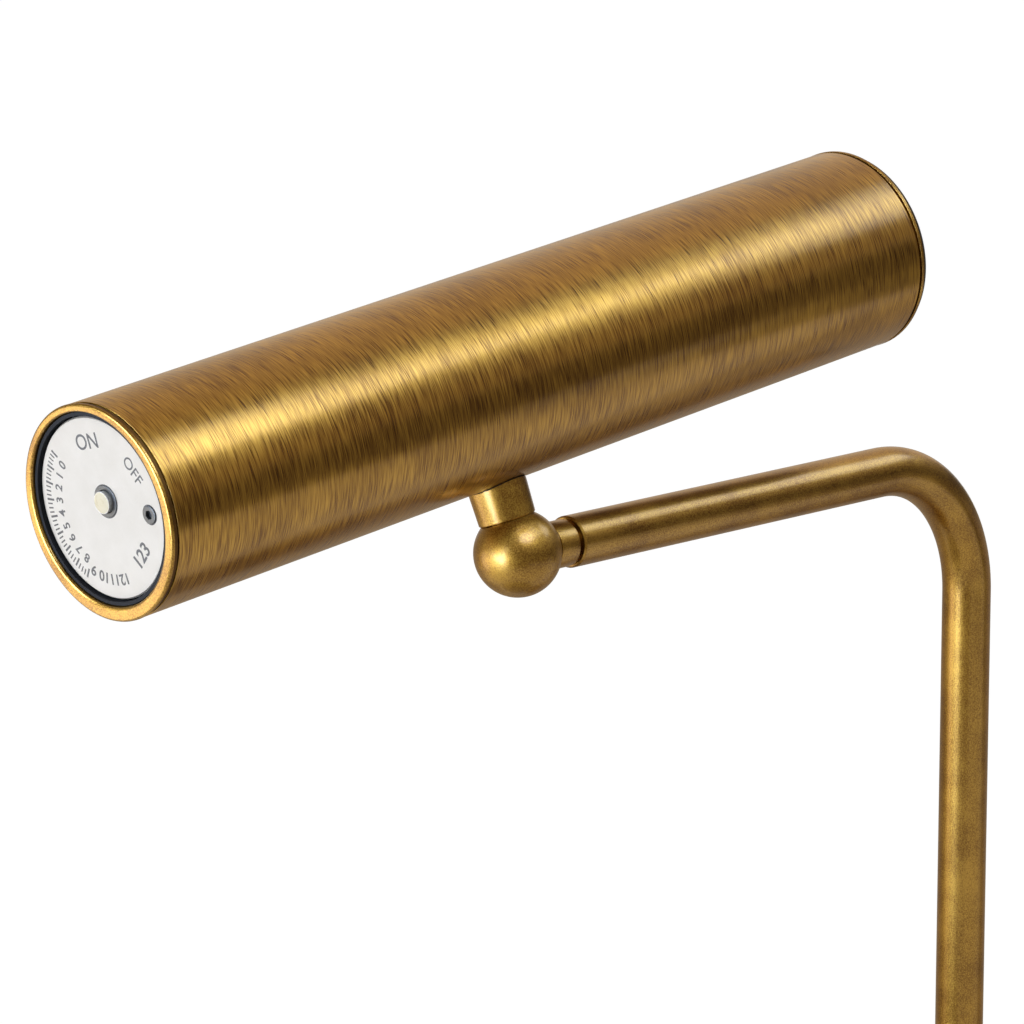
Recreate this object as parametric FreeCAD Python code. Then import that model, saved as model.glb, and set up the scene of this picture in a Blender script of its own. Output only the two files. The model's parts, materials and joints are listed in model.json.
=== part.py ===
import FreeCAD, Part
import math
import os

# Piano lamp: a round weighted base, one bent tube that is post and arm, a hollow ball swivel at the
# arm's end, and a tubular brass shade that holds its own light and driver.
# Millimetres. Origin at the centre of the base's underside, +Z up, the arm reaches towards -X.

Vector = FreeCAD.Vector
ORIGIN = Vector(0, 0, 0)
X_AXIS = Vector(1, 0, 0)
Y_AXIS = Vector(0, 1, 0)
Z_AXIS = Vector(0, 0, 1)

# ---------------------------------------------------------------------------------------------
# Driving dimensions
# ---------------------------------------------------------------------------------------------
# Clearances
seat_gap = 0.05           # turned pieces of one body that fit in or on each other
journal_gap = 0.06        # radial clearance of a shaft that turns in its bore
ball_gap = 0.25           # between the ball and the pieces that slide over it
loose_gap = 0.3           # a piece that only drops into its place
cut_over = 1.0            # how far a cutting tool runs past the stock

# Base
base_d = 180.0            # spun brass cover, outside
base_h = 24.0             # top of the cover above the table
base_edge_r = 6.0         # rounding of the cover's top edge
cover_t = 1.2             # sheet of the cover
rim_lift = 1.0            # the cover's rim stays clear of the table
pad_t = 1.5               # felt pad
pad_margin = 4.0          # the pad stands back from the cover's edge
weight_gap = 1.0          # cast weight to the cover's side wall

# Post bearing in the base
spindle_d = 10.0          # hollow threaded spindle
spindle_grip = 18.0       # length of spindle screwed into the post's plug
plug_length = 24.0        # plug brazed into the post's lower end
bush_wall = 2.0           # bronze bush around the spindle
bush_flange_d = 22.0
bush_flange_t = 4.0
thrust_washer_t = 0.8
bearing_recess_d = 34.0   # pocket under the weight for the washers and nuts
bearing_web = 5.8         # iron left above the pocket
flat_washer_d = 24.0
flat_washer_t = 1.5
spring_washer_t = 1.0     # height of the dished washer
spring_washer_sheet = 0.6
lock_nut_flats = 14.0
lock_nut_t = 2.5
spindle_tail = 0.5        # spindle past the lower nut
collar_d = 30.0           # turned collar that hides the bearing
collar_h = 14.0
collar_edge_r = 2.5
grub_d = 3.0              # grub screw of the collar
grub_inset = 0.4          # the screw's end below the collar's surface

# Cable way in the base
channel_gap = 0.9         # around the grommet's flange
inlet_r = 3.0             # cable hole of the grommet
grommet_neck_r = 5.0
grommet_flange_r = 6.3
grommet_flange_t = 1.6
inlet_z = 7.6
terminal_length = 17.0
terminal_w = 11.0
terminal_h = 9.0
terminal_x = 36.0         # inner end of the terminal block
terminal_screw_d = 3.0
terminal_pitch = 5.5
terminal_screw_drop = 0.75  # the screws' heads below the block's top
terminal_slot_w = 0.6
terminal_slot_depth = 0.8

# Post and arm
tube_d = 15.2
tube_t = 1.0
bend_r = 44.0             # centre line of the bend
arm_height = 310.0        # centre line of the arm above the table
reach = 203.0             # post axis to ball centre

# Neck and arm end
ball_to_arm = 20.4        # ball centre to the arm's end face
neck_d = 13.8
groove_w = 1.2            # shadow groove between the neck and the arm's end
neck_seat_gap = 0.3       # shadow line between the ball and the neck's collar
bush_inset = 1.0          # the arm's bush sits this far inside the tube
arm_bush_length = 12.0
spigot_d = 8.0
neck_washer_t = 0.8
neck_nut_room = 0.7       # the nut's corners to the tube's bore
neck_nut_t = 4.0
spigot_tail = 0.5
edge_break = 0.5          # turned chamfers that catch the light

# Ball swivel
ball_d = 25.4
ball_t = 2.0
neck_thread_d = 10.0      # neck's thread in the ball
neck_thread_in = 0.9      # how far the neck shows inside the ball
stem_d = 17.2             # the stem's top
stem_foot_d = 16.7
stem_edge = 0.3           # broken edge of the stem's foot and top
stem_seat_gap = 0.25      # stem's hollow foot to the ball
gasket_t = 0.7            # rubber gasket between the stem and the shade, where it is thinnest
gasket_inset = 0.4        # its edge inside the stem's
nipple_d = 8.0            # hollow threaded nipple through the stem
ball_washer_d = 12.4
ball_washer_rim = 1.2
ball_nut_flats = 10.0
ball_nut_t = 2.8
ball_spring_t = 0.8       # height of the dished washer
ball_spring_sheet = 0.48
nipple_tail = 0.8
tilt_min = -3.0           # stem lean from square to the arm, outwards positive, degrees
tilt_max = 27.0
lead_d = 3.6              # two-core lead inside the tubes
lead_gap = 0.3

# How the lamp stands at rest, degrees
spin_rest = -17.4         # ball about the arm
tilt_rest = 6.4           # stem in the ball's slot
swivel_rest = -4.4        # shade about the stem

# Shade
shade_d = 60.5
shade_t = 1.0
shade_length = 301.1      # front of the end ring to back of the far cap
stem_from_front = 137.1   # front of the end ring to the stem's axis
shade_offset = 50.3       # ball centre to the shade's axis
ring_proud = 0.1
ring_w = 2.3
ring_lip = 2.05           # the ring's bore inside the tube's
ring_edge_r = 1.2
ring_inner_edge_r = 0.9
bore_z = 0.9              # the ring's bore, the plate and its cup above the shade's axis
ring_spigot = 8.4
shadow_line = 0.3         # gap between the end ring and the tube
spigot_wall = 1.4
cap_proud = 0.1
cap_w = 3.2               # the cap's land and bevel together
cap_land = 0.9
cap_bevel = 1.2           # the bevel's depth inwards
cap_dome = 0.6
cap_edge_r = 0.2
cap_groove = 0.6
cap_spigot = 10.0
cap_floor = 2.0

# Stem fixing inside the shade
saddle_t = 2.0
shade_nut_flats = 11.0
shade_nut_t = 3.0

# Light opening and light box
aperture_turn = 15.0      # the opening looks this far below the shade's own horizontal
aperture_w = 28.0
aperture_corner_r = 5.0
carrier_setback = 13.0    # end bracket to the carrier
carrier_end_gap = 2.0     # carrier to the far cap's spigot
carrier_t = 2.0
carrier_drop = 5.0        # carrier's face behind the shade's axis
wall_t = 1.8
wall_spacing = 29.2       # between the light box's side walls
ledge_t = 1.4
ledge_h = 1.5
diffuser_t = 2.0
diffuser_depth = 0.6      # below the tube's inside
diffuser_lap = 1.5        # past each end of the opening
led_board_w = 10.0
led_board_t = 1.2
led_board_gap = 9.0       # board to the light box's end walls
led_board_screws = 4
screw_to_board_end = 5.5
led_w = 2.8
led_length = 3.5
led_h = 0.8
led_pitch = 11.0
lead_notch_w = 9.0

# Driver behind the carrier
driver_length = 70.0
driver_w = 28.0
driver_h = 14.0
driver_wall = 1.5
driver_from_stem = -45.0
tab_length = 8.0
tab_t = 2.5
driver_board_t = 1.2
transformer_size = (15.0, 9.0, 14.0)    # along the shade, height, across
transformer_from_middle = 11.0
choke_size = (8.5, 5.5, 6.0)
choke_from_middle = -8.5
choke_aside = 3.5
capacitor_d = 6.2
capacitor_h = 8.5
capacitor_places = (-14.0, -23.5)       # from the driver's middle
capacitor_aside = 5.6

# Leads inside the shade
supply_aside = 15.5       # how far the supply lead swerves to pass behind the carrier
supply_bend_r = 4.0
supply_rise = 4.0         # nipple's end to the middle of the swerve
supply_in = 1.7           # how far it shows inside the driver's housing
switch_lead_d = 2.4
switch_lead_below = 6.3   # carrier's back to the switch lead

# Small screws
m3_d = 3.0
m3_head_d = 5.2
m3_head_h = 1.6
m3_socket_flats = 2.2
m3_socket_depth = 1.1

# Switch end
plate_margin = 1.75       # open gap between the plate and the ring's bore
plate_recess = 2.2        # plate below the ring's front
plate_t = 2.5
plate_edge = 0.4
bracket_disc_t = 2.5
bracket_flange_t = 2.0
bracket_wall = 2.0
bracket_lip_t = 1.0       # the bracket's rim around the plate
bracket_lip_h = 1.0       # its front before the plate's
leg_t = 2.5
leg_lap = 8.0
bezel_lip_d = 9.0
bezel_lip_h = 0.25
bezel_edge_r = 0.15
bezel_body_d = 8.2
bezel_length = 4.6
button_y = -2.3           # the button's axis from the shade's
button_z = 2.5
button_d = 6.0
button_proud = 1.9
button_dome = 0.3
button_flange_d = 7.0
button_flange_t = 1.0
button_travel = 0.9
button_play = 0.2
plunger_d = 2.8
plunger_in = 0.6          # plunger inside the switch at rest
switch_size = 12.0
switch_depth = 7.0
switch_bore_depth = 2.5
switch_board_d = 36.0
switch_board_t = 1.2
spring_wire_d = 0.4
spring_coil_d = 4.8
spring_turns = 3
spring_corners = 6        # runs in one turn of the spring's path
plate_screw_y = -19.1
plate_screw_z = -3.7
plate_screw_length = 9.0
plate_screw_proud = 0.4   # its head above the plate

# ---------------------------------------------------------------------------------------------
# Values that follow
# ---------------------------------------------------------------------------------------------
base_r = base_d / 2
tube_r = tube_d / 2
tube_bore_r = tube_r - tube_t
neck_nut_flats = (tube_bore_r - neck_nut_room) * math.sqrt(3)
ball_r = ball_d / 2
ball_bore_r = ball_r - ball_t
stem_r = stem_d / 2
stem_foot_r = stem_foot_d / 2
nipple_r = nipple_d / 2
spigot_r = spigot_d / 2
lead_r = lead_d / 2
lead_bore_r = lead_r + lead_gap
shade_r = shade_d / 2
shade_bore_r = shade_r - shade_t

weight_top = base_h - cover_t
weight_r = base_r - cover_t - weight_gap
spindle_r = spindle_d / 2
bush_bore_r = spindle_r + journal_gap
bush_r = spindle_r + bush_wall
flange_top = base_h + bush_flange_t
post_bottom = flange_top + thrust_washer_t
recess_top = weight_top - bearing_web
nut_top = recess_top - flat_washer_t - spring_washer_t
spindle_bottom = nut_top - 2 * lock_nut_t - spindle_tail

arm_end_x = ball_to_arm - reach
arm_bush_in = ball_to_arm + bush_inset
arm_bush_out = arm_bush_in + arm_bush_length
neck_shoulder = ball_to_arm - groove_w
neck_nut_start = arm_bush_out + neck_washer_t
neck_end = neck_nut_start + neck_nut_t + spigot_tail
neck_inner_end = ball_bore_r - neck_thread_in

ball_washer_r = ball_washer_d / 2
ball_washer_out_r = ball_bore_r - ball_gap
ball_washer_flat = math.sqrt(ball_washer_out_r ** 2 - ball_washer_r ** 2) - ball_washer_rim
ball_nut_top = ball_washer_flat - ball_spring_t
nipple_bottom = ball_nut_top - ball_nut_t - nipple_tail

front_x = -stem_from_front
back_x = front_x + shade_length
tube_front_x = front_x + ring_w + shadow_line
cap_front_x = back_x - cap_dome - cap_w
tube_back_x = cap_front_x - cap_groove
ring_r = shade_r + ring_proud
ring_bore_r = shade_bore_r - ring_lip
plate_r = ring_bore_r - plate_margin
cap_r = shade_r + cap_proud
insert_r = shade_bore_r - seat_gap
inside_r = shade_bore_r - loose_gap
shade_floor = -shade_bore_r
saddle_top = shade_floor + saddle_t
shade_nut_top = saddle_top + shade_nut_t
nipple_top = shade_offset + shade_nut_top + spigot_tail
stem_top = shade_offset - shade_r - seat_gap - gasket_t

plate_front_x = front_x + plate_recess
plate_back_x = plate_front_x + plate_t
disc_back_x = plate_back_x + bracket_disc_t
ring_inner_end_x = front_x + ring_w + ring_spigot
bracket_end_x = ring_inner_end_x + loose_gap + bracket_flange_t

carrier_start_x = bracket_end_x + carrier_setback
carrier_end_x = cap_front_x - cap_spigot - carrier_end_gap
carrier_back_y = -carrier_drop - carrier_t
wall_in_z = wall_spacing / 2
box_start_x = carrier_start_x + wall_t
box_end_x = carrier_end_x - wall_t
diffuser_r = shade_bore_r - diffuser_depth
diffuser_half_w = wall_in_z - loose_gap
aperture_start_x = box_start_x + loose_gap + diffuser_lap
aperture_end_x = box_end_x - loose_gap - diffuser_lap
led_board_start_x = box_start_x + led_board_gap
led_board_end_x = box_end_x - led_board_gap
bezel_r = bezel_body_d / 2
bezel_front_x = plate_front_x - bezel_lip_h
bezel_back_x = plate_front_x + bezel_length
button_front_x = plate_front_x - button_proud
button_flange_x = bezel_back_x - button_travel - button_play - button_flange_t
switch_front_x = disc_back_x + button_travel + button_play
switch_back_x = switch_front_x + switch_depth
leg_in_z = math.sqrt((switch_board_d / 2 + loose_gap) ** 2 - carrier_back_y ** 2)
leg_out_z = math.sqrt(inside_r ** 2 - (carrier_back_y - leg_t) ** 2) - loose_gap
leg_z = (leg_in_z + leg_out_z) / 2
m3_r = m3_d / 2
m3_head_r = m3_head_d / 2

switch_lead_r = switch_lead_d / 2
switch_lead_y = carrier_back_y - switch_lead_below
supply_turn_z = nipple_top - shade_offset + supply_rise
housing_slope = math.tan(math.radians(aperture_turn))
housing_side_z = -driver_w / 2 / math.cos(math.radians(aperture_turn))
supply_end_z = housing_side_z + supply_aside * housing_slope + supply_in

# Frames of the moving groups, each fixed in the one before it
BALL_FRAME = FreeCAD.Placement(Vector(-reach, 0, arm_height), FreeCAD.Rotation(X_AXIS, spin_rest))
TILT_FRAME = BALL_FRAME.multiply(FreeCAD.Placement(ORIGIN, FreeCAD.Rotation(Y_AXIS, -tilt_rest)))
STEM_FRAME = TILT_FRAME.multiply(FreeCAD.Placement(ORIGIN, FreeCAD.Rotation(Z_AXIS, swivel_rest)))
SHADE_FRAME = STEM_FRAME.multiply(FreeCAD.Placement(Z_AXIS * shade_offset, FreeCAD.Rotation()))
BORE_FOOT = Z_AXIS * bore_z
BUTTON_FOOT = Vector(0, button_y, button_z)
BUTTON_FRAME = SHADE_FRAME.multiply(FreeCAD.Placement(BUTTON_FOOT, FreeCAD.Rotation()))
LIGHT_FRAME = SHADE_FRAME.multiply(FreeCAD.Placement(ORIGIN, FreeCAD.Rotation(X_AXIS, -aperture_turn)))
ARM_FRAME = FreeCAD.Placement(Vector(-reach, 0, arm_height), FreeCAD.Rotation())


# ---------------------------------------------------------------------------------------------
# Shop tools
# ---------------------------------------------------------------------------------------------
def rod(radius, start, end, axis=Z_AXIS, foot=ORIGIN):
    """A round bar from start to end, measured along the axis from the foot."""
    return Part.makeCylinder(radius, end - start, foot + axis * start, axis)


def washer(outer_r, inner_r, start, end, axis=Z_AXIS, foot=ORIGIN):
    """A ring or tube about the axis."""
    bore = rod(inner_r, start - cut_over, end + cut_over, axis, foot)
    return rod(outer_r, start, end, axis, foot).cut(bore)


def turned(profile, axis=Z_AXIS):
    """A lathe-turned solid: (along, radius) points revolved about the axis."""
    side = X_AXIS if axis == Z_AXIS else Z_AXIS
    points = [axis * along + side * radius for along, radius in profile]
    face = Part.Face(Part.makePolygon(points + points[:1]))
    return face.revolve(ORIGIN, axis, 360)


def block(x_span, y_span, z_span):
    """A rectangular block from three (low, high) spans."""
    size = [high - low for low, high in (x_span, y_span, z_span)]
    return Part.makeBox(size[0], size[1], size[2], Vector(x_span[0], y_span[0], z_span[0]))


def hexagon(flats, start, end, axis=Z_AXIS, foot=ORIGIN):
    """A hexagonal bar about the axis, of the given width across flats."""
    side = X_AXIS if axis == Z_AXIS else Y_AXIS
    other = axis.cross(side)
    corner_r = flats / math.sqrt(3)
    ring = []
    for corner in range(6):
        turn = math.radians(60 * corner)
        ring.append(foot + axis * start + (side * math.cos(turn) + other * math.sin(turn)) * corner_r)
    return Part.Face(Part.makePolygon(ring + ring[:1])).extrude(axis * (end - start))


def nut(flats, bore_r, start, end, axis=Z_AXIS):
    """A hexagon nut with its corners turned off."""
    blank = hexagon(flats, start, end, axis)
    corner_r = flats / math.sqrt(3)
    slope = corner_r - flats / 2
    shoulder = [(start, 0), (start, flats / 2), (start + slope, corner_r), (end - slope, corner_r),
                (end, flats / 2), (end, 0)]
    return blank.common(turned(shoulder, axis)).cut(rod(bore_r, start - cut_over, end + cut_over, axis))


def round_edges(shape, amount, wanted, bevel=False):
    """Round (or bevel) the circular edges whose (radius, centre along, axis) are wanted."""
    chosen = []
    for edge in shape.Edges:
        if edge.Curve.TypeId != "Part::GeomCircle":
            continue
        for radius, along, axis in wanted:
            same_r = abs(edge.Curve.Radius - radius) < 1e-4
            same_place = abs(edge.Curve.Center.dot(axis) - along) < 1e-4
            if same_r and same_place:
                chosen.append(edge)
    return shape.makeChamfer(amount, chosen) if bevel else shape.makeFillet(amount, chosen)


def round_bar_along(points, radius, bend):
    """A round bar of straight runs, joined by arcs of the bend radius that meet them tangentially."""
    edges = []
    start = points[0]
    for before, corner, after in zip(points, points[1:], points[2:]):
        into = (corner - before).normalize()
        out = (after - corner).normalize()
        turn = into.getAngle(out)
        setback = bend * math.tan(turn / 2)
        first = corner - into * setback
        last = corner + out * setback
        inward = (out - into).normalize()
        centre = corner + inward * (bend / math.cos(turn / 2))
        middle = centre - inward * bend
        edges.append(Part.LineSegment(start, first).toShape())
        edges.append(Part.Arc(first, middle, last).toShape())
        start = last
    edges.append(Part.LineSegment(start, points[-1]).toShape())
    heading = (points[1] - points[0]).normalize()
    section = Part.Wire(Part.Circle(points[0], heading, radius).toShape())
    return Part.Wire(edges).makePipeShell([section], True, False)


def screw(head_r, head_h, shank_r, length, axis, foot):
    """A socket screw: its head starts at the foot and the shank follows along the axis."""
    head = rod(head_r, 0, head_h, axis, foot)
    shank = rod(shank_r, head_h, head_h + length, axis, foot)
    socket = hexagon(m3_socket_flats, -cut_over, m3_socket_depth, axis, foot)
    return head.fuse(shank).removeSplitter().cut(socket)


def placed(shape, frame):
    """The shape, moved from its own frame into the lamp's."""
    moved = shape.copy()
    moved.Placement = frame.multiply(moved.Placement)
    return moved


# ---------------------------------------------------------------------------------------------
# Base
# ---------------------------------------------------------------------------------------------
def base_cover():
    """Spun brass dish with a rounded shoulder, a hole for the bush and one for the cable grommet."""
    skin = rod(base_r, rim_lift, base_h)
    skin = round_edges(skin, base_edge_r, [(base_r, base_h, Z_AXIS)])
    hollow = rod(base_r - cover_t, rim_lift - cut_over, base_h - cover_t)
    hollow = round_edges(hollow, base_edge_r - cover_t, [(base_r - cover_t, base_h - cover_t, Z_AXIS)])
    skin = skin.cut(hollow)
    skin = skin.cut(rod(bush_r + seat_gap, base_h - cover_t - cut_over, base_h + cut_over))
    inlet = rod(grommet_neck_r + seat_gap, weight_r - cut_over, base_r + cut_over, X_AXIS, Z_AXIS * inlet_z)
    return skin.cut(inlet)


def base_weight():
    """Cast iron disc with the bearing pocket and the cable channel in its underside."""
    disc = rod(weight_r, pad_t, weight_top)
    disc = round_edges(disc, base_edge_r - cover_t, [(weight_r, weight_top, Z_AXIS)])
    disc = disc.cut(rod(bush_r + seat_gap, pad_t, weight_top + cut_over))
    disc = disc.cut(rod(bearing_recess_d / 2, pad_t - cut_over, recess_top))
    half = grommet_flange_r + channel_gap
    channel = block((0, base_r), (-half, half), (pad_t - cut_over, inlet_z + half))
    return disc.cut(channel)


def felt_pad():
    return rod(base_r - pad_margin, 0, pad_t)


def swivel_bush():
    """Bronze bush through the weight, its flange holding the cover down."""
    body = rod(bush_r, recess_top, base_h).fuse(rod(bush_flange_d / 2, base_h, flange_top))
    return body.removeSplitter().cut(rod(bush_bore_r, recess_top - cut_over, flange_top + cut_over))


def thrust_washer():
    return washer(bush_flange_d / 2, spindle_r + loose_gap, flange_top, post_bottom)


def base_collar():
    """Turned collar around the foot of the post, bored out below for the bush's flange."""
    top = base_h + collar_h
    ring = rod(collar_d / 2, base_h, top)
    ring = round_edges(ring, collar_edge_r, [(collar_d / 2, top, Z_AXIS)])
    ring = ring.cut(rod(tube_r + loose_gap, base_h, top + cut_over))
    ring = ring.cut(rod(bush_flange_d / 2 + seat_gap, base_h - cut_over, post_bottom))
    grub_z = base_h + bush_flange_t / 2
    return ring.cut(rod(grub_d / 2 + seat_gap, 0, collar_d, X_AXIS, Z_AXIS * grub_z))


def collar_grub_screw():
    """Grub screw that presses the collar on the bush's flange."""
    foot = Vector(bush_flange_d / 2, 0, base_h + bush_flange_t / 2)
    length = (collar_d - bush_flange_d) / 2 - grub_inset
    bar = rod(grub_d / 2, 0, length, X_AXIS, foot)
    socket = hexagon(grub_d / 2, length - grub_d / 2, length + cut_over, X_AXIS, foot)
    return bar.cut(socket)


def flat_washer():
    return washer(flat_washer_d / 2, spindle_r + loose_gap, recess_top - flat_washer_t, recess_top)


def cord_grommet():
    """Rubber grommet: two flanges with the cover's wall between them and a hole for a round cable."""
    outer_face = base_r + seat_gap
    inner_face = math.sqrt((base_r - cover_t) ** 2 - grommet_flange_r ** 2) - seat_gap
    foot = Z_AXIS * inlet_z
    start = inner_face - grommet_flange_t
    end = outer_face + grommet_flange_t
    body = rod(grommet_neck_r, start, end, X_AXIS, foot)
    body = body.fuse(rod(grommet_flange_r, start, inner_face, X_AXIS, foot))
    body = body.fuse(rod(grommet_flange_r, outer_face, end, X_AXIS, foot))
    return body.removeSplitter().cut(rod(inlet_r, start - cut_over, end + cut_over, X_AXIS, foot))


def terminal_places():
    """Where the terminal block's four screws stand, in plan."""
    ends = (terminal_x + terminal_length * 0.25, terminal_x + terminal_length * 0.75)
    return [(x, side * terminal_pitch / 2) for x in ends for side in (-1, 1)]


def terminal_block():
    """Two-pole connector block that lies on the pad in the cable channel."""
    half = terminal_w / 2
    body = block((terminal_x, terminal_x + terminal_length), (-half, half), (pad_t, pad_t + terminal_h))
    for x, y in terminal_places():
        well = rod(terminal_screw_d / 2 + seat_gap, pad_t + terminal_h / 2, base_h, Z_AXIS, Vector(x, y, 0))
        body = body.cut(well)
    for side in (-1, 1):
        way = rod(lead_r / 2, 0, base_r, X_AXIS, Vector(0, side * terminal_pitch / 2, pad_t + terminal_h / 3))
        body = body.cut(way)
    return body


def terminal_screws():
    """Four slotted clamp screws in the terminal block."""
    screws = []
    low = pad_t + terminal_h / 2
    high = pad_t + terminal_h - terminal_screw_drop
    half = terminal_slot_w / 2
    for x, y in terminal_places():
        bar = rod(terminal_screw_d / 2, low, high, Z_AXIS, Vector(x, y, 0))
        slot = block((x - terminal_screw_d, x + terminal_screw_d), (y - half, y + half),
                     (high - terminal_slot_depth, base_h))
        screws.append(bar.cut(slot))
    return Part.makeCompound(screws)


def base_lead():
    """Lead from the terminal block to the mouth of the spindle."""
    low = pad_t + lead_r + seat_gap
    high = spindle_bottom - seat_gap
    points = [Vector(terminal_x - seat_gap, 0, low), Vector(0, 0, low), Vector(0, 0, high)]
    return round_bar_along(points, lead_r, high - low - loose_gap)


# ---------------------------------------------------------------------------------------------
# Post and arm
# ---------------------------------------------------------------------------------------------
def bent_bar(radius, low, out_x):
    """A round bar up the post's axis, through the bend and out along the arm to out_x."""
    post = rod(radius, low, arm_height - bend_r)
    arm = rod(radius, bend_r, -out_x, X_AXIS * -1, Z_AXIS * arm_height)
    section = Part.Face(Part.Wire(Part.Circle(Z_AXIS * (arm_height - bend_r), Z_AXIS, radius).toShape()))
    bend = section.revolve(Vector(-bend_r, 0, arm_height - bend_r), Y_AXIS * -1, 90)
    return post.fuse([bend, arm]).removeSplitter()


def post_arm_tube():
    """The one bent brass tube of the lamp, with a turned chamfer at the arm's open end."""
    skin = bent_bar(tube_r, post_bottom, arm_end_x)
    skin = round_edges(skin, edge_break, [(tube_r, arm_end_x, X_AXIS)], bevel=True)
    return skin.cut(bent_bar(tube_bore_r, post_bottom - cut_over, arm_end_x - cut_over))


def post_plug():
    return washer(tube_bore_r - seat_gap, spindle_r + seat_gap, post_bottom, post_bottom + plug_length)


def spindle():
    """Hollow threaded spindle that the post turns on."""
    return washer(spindle_r, lead_bore_r, spindle_bottom, post_bottom + spindle_grip)


def post_spring_washer():
    """Dished spring washer that gives the arm's swing its drag."""
    low = nut_top
    high = nut_top + spring_washer_t
    sheet = spring_washer_sheet
    inner = spindle_r + loose_gap
    outer = flat_washer_d / 2 - spring_washer_t
    return turned([(low, inner), (low + sheet, inner), (high, outer), (high - sheet, outer)])


def lock_nuts():
    """Two thin nuts, one locked against the other."""
    middle = nut_top - lock_nut_t
    bore = spindle_r + seat_gap
    lower = nut(lock_nut_flats, bore, middle - lock_nut_t, middle)
    upper = nut(lock_nut_flats, bore, middle, nut_top)
    return Part.makeCompound([lower, upper])


def arm_bush():
    """Bush brazed inside the arm's end, where the neck turns."""
    return washer(tube_bore_r - seat_gap, spigot_r + journal_gap, arm_bush_in, arm_bush_out, X_AXIS)


def arm_lead():
    """Lead from the spindle's mouth up the post and along the arm to the ball."""
    return bent_bar(lead_r, spindle_bottom + seat_gap, neck_inner_end - reach)


# ---------------------------------------------------------------------------------------------
# Ball swivel
# ---------------------------------------------------------------------------------------------
def ball_shell():
    """Hollow ball with a threaded hole for the neck and a short slot that the stem's nipple rides in."""
    shell = Part.makeSphere(ball_r).cut(Part.makeSphere(ball_bore_r))
    shell = shell.cut(rod(neck_thread_d / 2 + seat_gap, ball_bore_r - ball_t, ball_r + ball_t, X_AXIS))
    slot_r = nipple_r + ball_gap
    low = ball_bore_r - ball_t
    high = ball_r + ball_t
    section = [(-slot_r, low), (slot_r, low), (slot_r, high), (-slot_r, high), (-slot_r, low)]
    face = Part.Face(Part.makePolygon([Vector(0, y, z) for y, z in section]))
    sweep = face.revolve(ORIGIN, Y_AXIS * -1, tilt_max - tilt_min)
    sweep.rotate(ORIGIN, Y_AXIS, -tilt_min)
    shell = shell.cut(sweep)
    for lean in (tilt_min, tilt_max):
        end = rod(slot_r, low, high)
        end.rotate(ORIGIN, Y_AXIS, -lean)
        shell = shell.cut(end)
    return shell


def neck():
    """Turned neck: thread in the ball, plain collar with a hollow seat, spigot through the arm's bush."""
    profile = [(neck_inner_end, 0), (neck_inner_end, neck_thread_d / 2), (ball_r, neck_thread_d / 2),
               (ball_r, neck_d / 2), (neck_shoulder, neck_d / 2), (neck_shoulder, spigot_r),
               (neck_end, spigot_r), (neck_end, 0)]
    thread_and_spigot = turned(profile, X_AXIS)
    collar = rod(neck_d / 2, ball_bore_r, ball_r, X_AXIS).cut(Part.makeSphere(ball_r + neck_seat_gap))
    body = thread_and_spigot.fuse(collar).removeSplitter()
    body = round_edges(body, edge_break / 2, [(neck_d / 2, neck_shoulder, X_AXIS)], bevel=True)
    return body.cut(rod(lead_bore_r, neck_inner_end - cut_over, neck_end + cut_over, X_AXIS))


def neck_spring_washer():
    return washer(spigot_r + neck_washer_t * 2, spigot_r + seat_gap, arm_bush_out, neck_nut_start, X_AXIS)


def neck_nut():
    return nut(neck_nut_flats, spigot_r + seat_gap, neck_nut_start, neck_nut_start + neck_nut_t, X_AXIS)


def ball_washer():
    """Domed washer that the stem's nut pulls against the inside of the ball."""
    dome = Part.makeSphere(ball_washer_out_r).common(rod(ball_washer_r, ball_washer_flat, ball_r))
    return dome.cut(rod(nipple_r + journal_gap, 0, ball_r))


# ---------------------------------------------------------------------------------------------
# Stem, fixed to the shade
# ---------------------------------------------------------------------------------------------
def stem():
    """Turned stem, slightly tapered: hollow seat on the ball below, flat top for the shade's gasket."""
    foot = math.sqrt((ball_r + stem_seat_gap) ** 2 - stem_foot_r ** 2)
    profile = [(0, 0), (foot, stem_foot_r - stem_edge), (foot + stem_edge, stem_foot_r),
               (stem_top - stem_edge, stem_r), (stem_top, stem_r - stem_edge), (stem_top, 0)]
    bar = turned(profile).cut(Part.makeSphere(ball_r + stem_seat_gap))
    return bar.cut(rod(nipple_r + seat_gap, 0, stem_top + cut_over))


def stem_gasket():
    """Rubber gasket on the stem's flat top, hollow above where the shade's tube rests."""
    pad = washer(stem_r - gasket_inset, nipple_r + seat_gap, stem_top, shade_offset)
    return pad.cut(rod(shade_r + seat_gap, -stem_d, stem_d, X_AXIS, Z_AXIS * shade_offset))


def stem_nipple():
    return washer(nipple_r, lead_bore_r, nipple_bottom, nipple_top)


def ball_nut():
    return nut(ball_nut_flats, nipple_r + seat_gap, ball_nut_top - ball_nut_t, ball_nut_top)


def ball_spring_washer():
    """Dished washer that keeps the ball joint's friction even."""
    sheet = ball_spring_sheet
    inner = nipple_r + seat_gap
    outer = ball_washer_r - edge_break
    return turned([(ball_nut_top, inner), (ball_nut_top + sheet, inner), (ball_washer_flat, outer),
                   (ball_washer_flat - sheet, outer)])


def saddle_washer():
    """Washer inside the shade, curved below to lie on the tube's wall."""
    blank = washer(stem_r, nipple_r + seat_gap, shade_floor, saddle_top)
    return blank.common(rod(shade_bore_r - seat_gap, -stem_d, stem_d, X_AXIS))


def shade_nut():
    return nut(shade_nut_flats, nipple_r + seat_gap, saddle_top, shade_nut_top)


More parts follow.
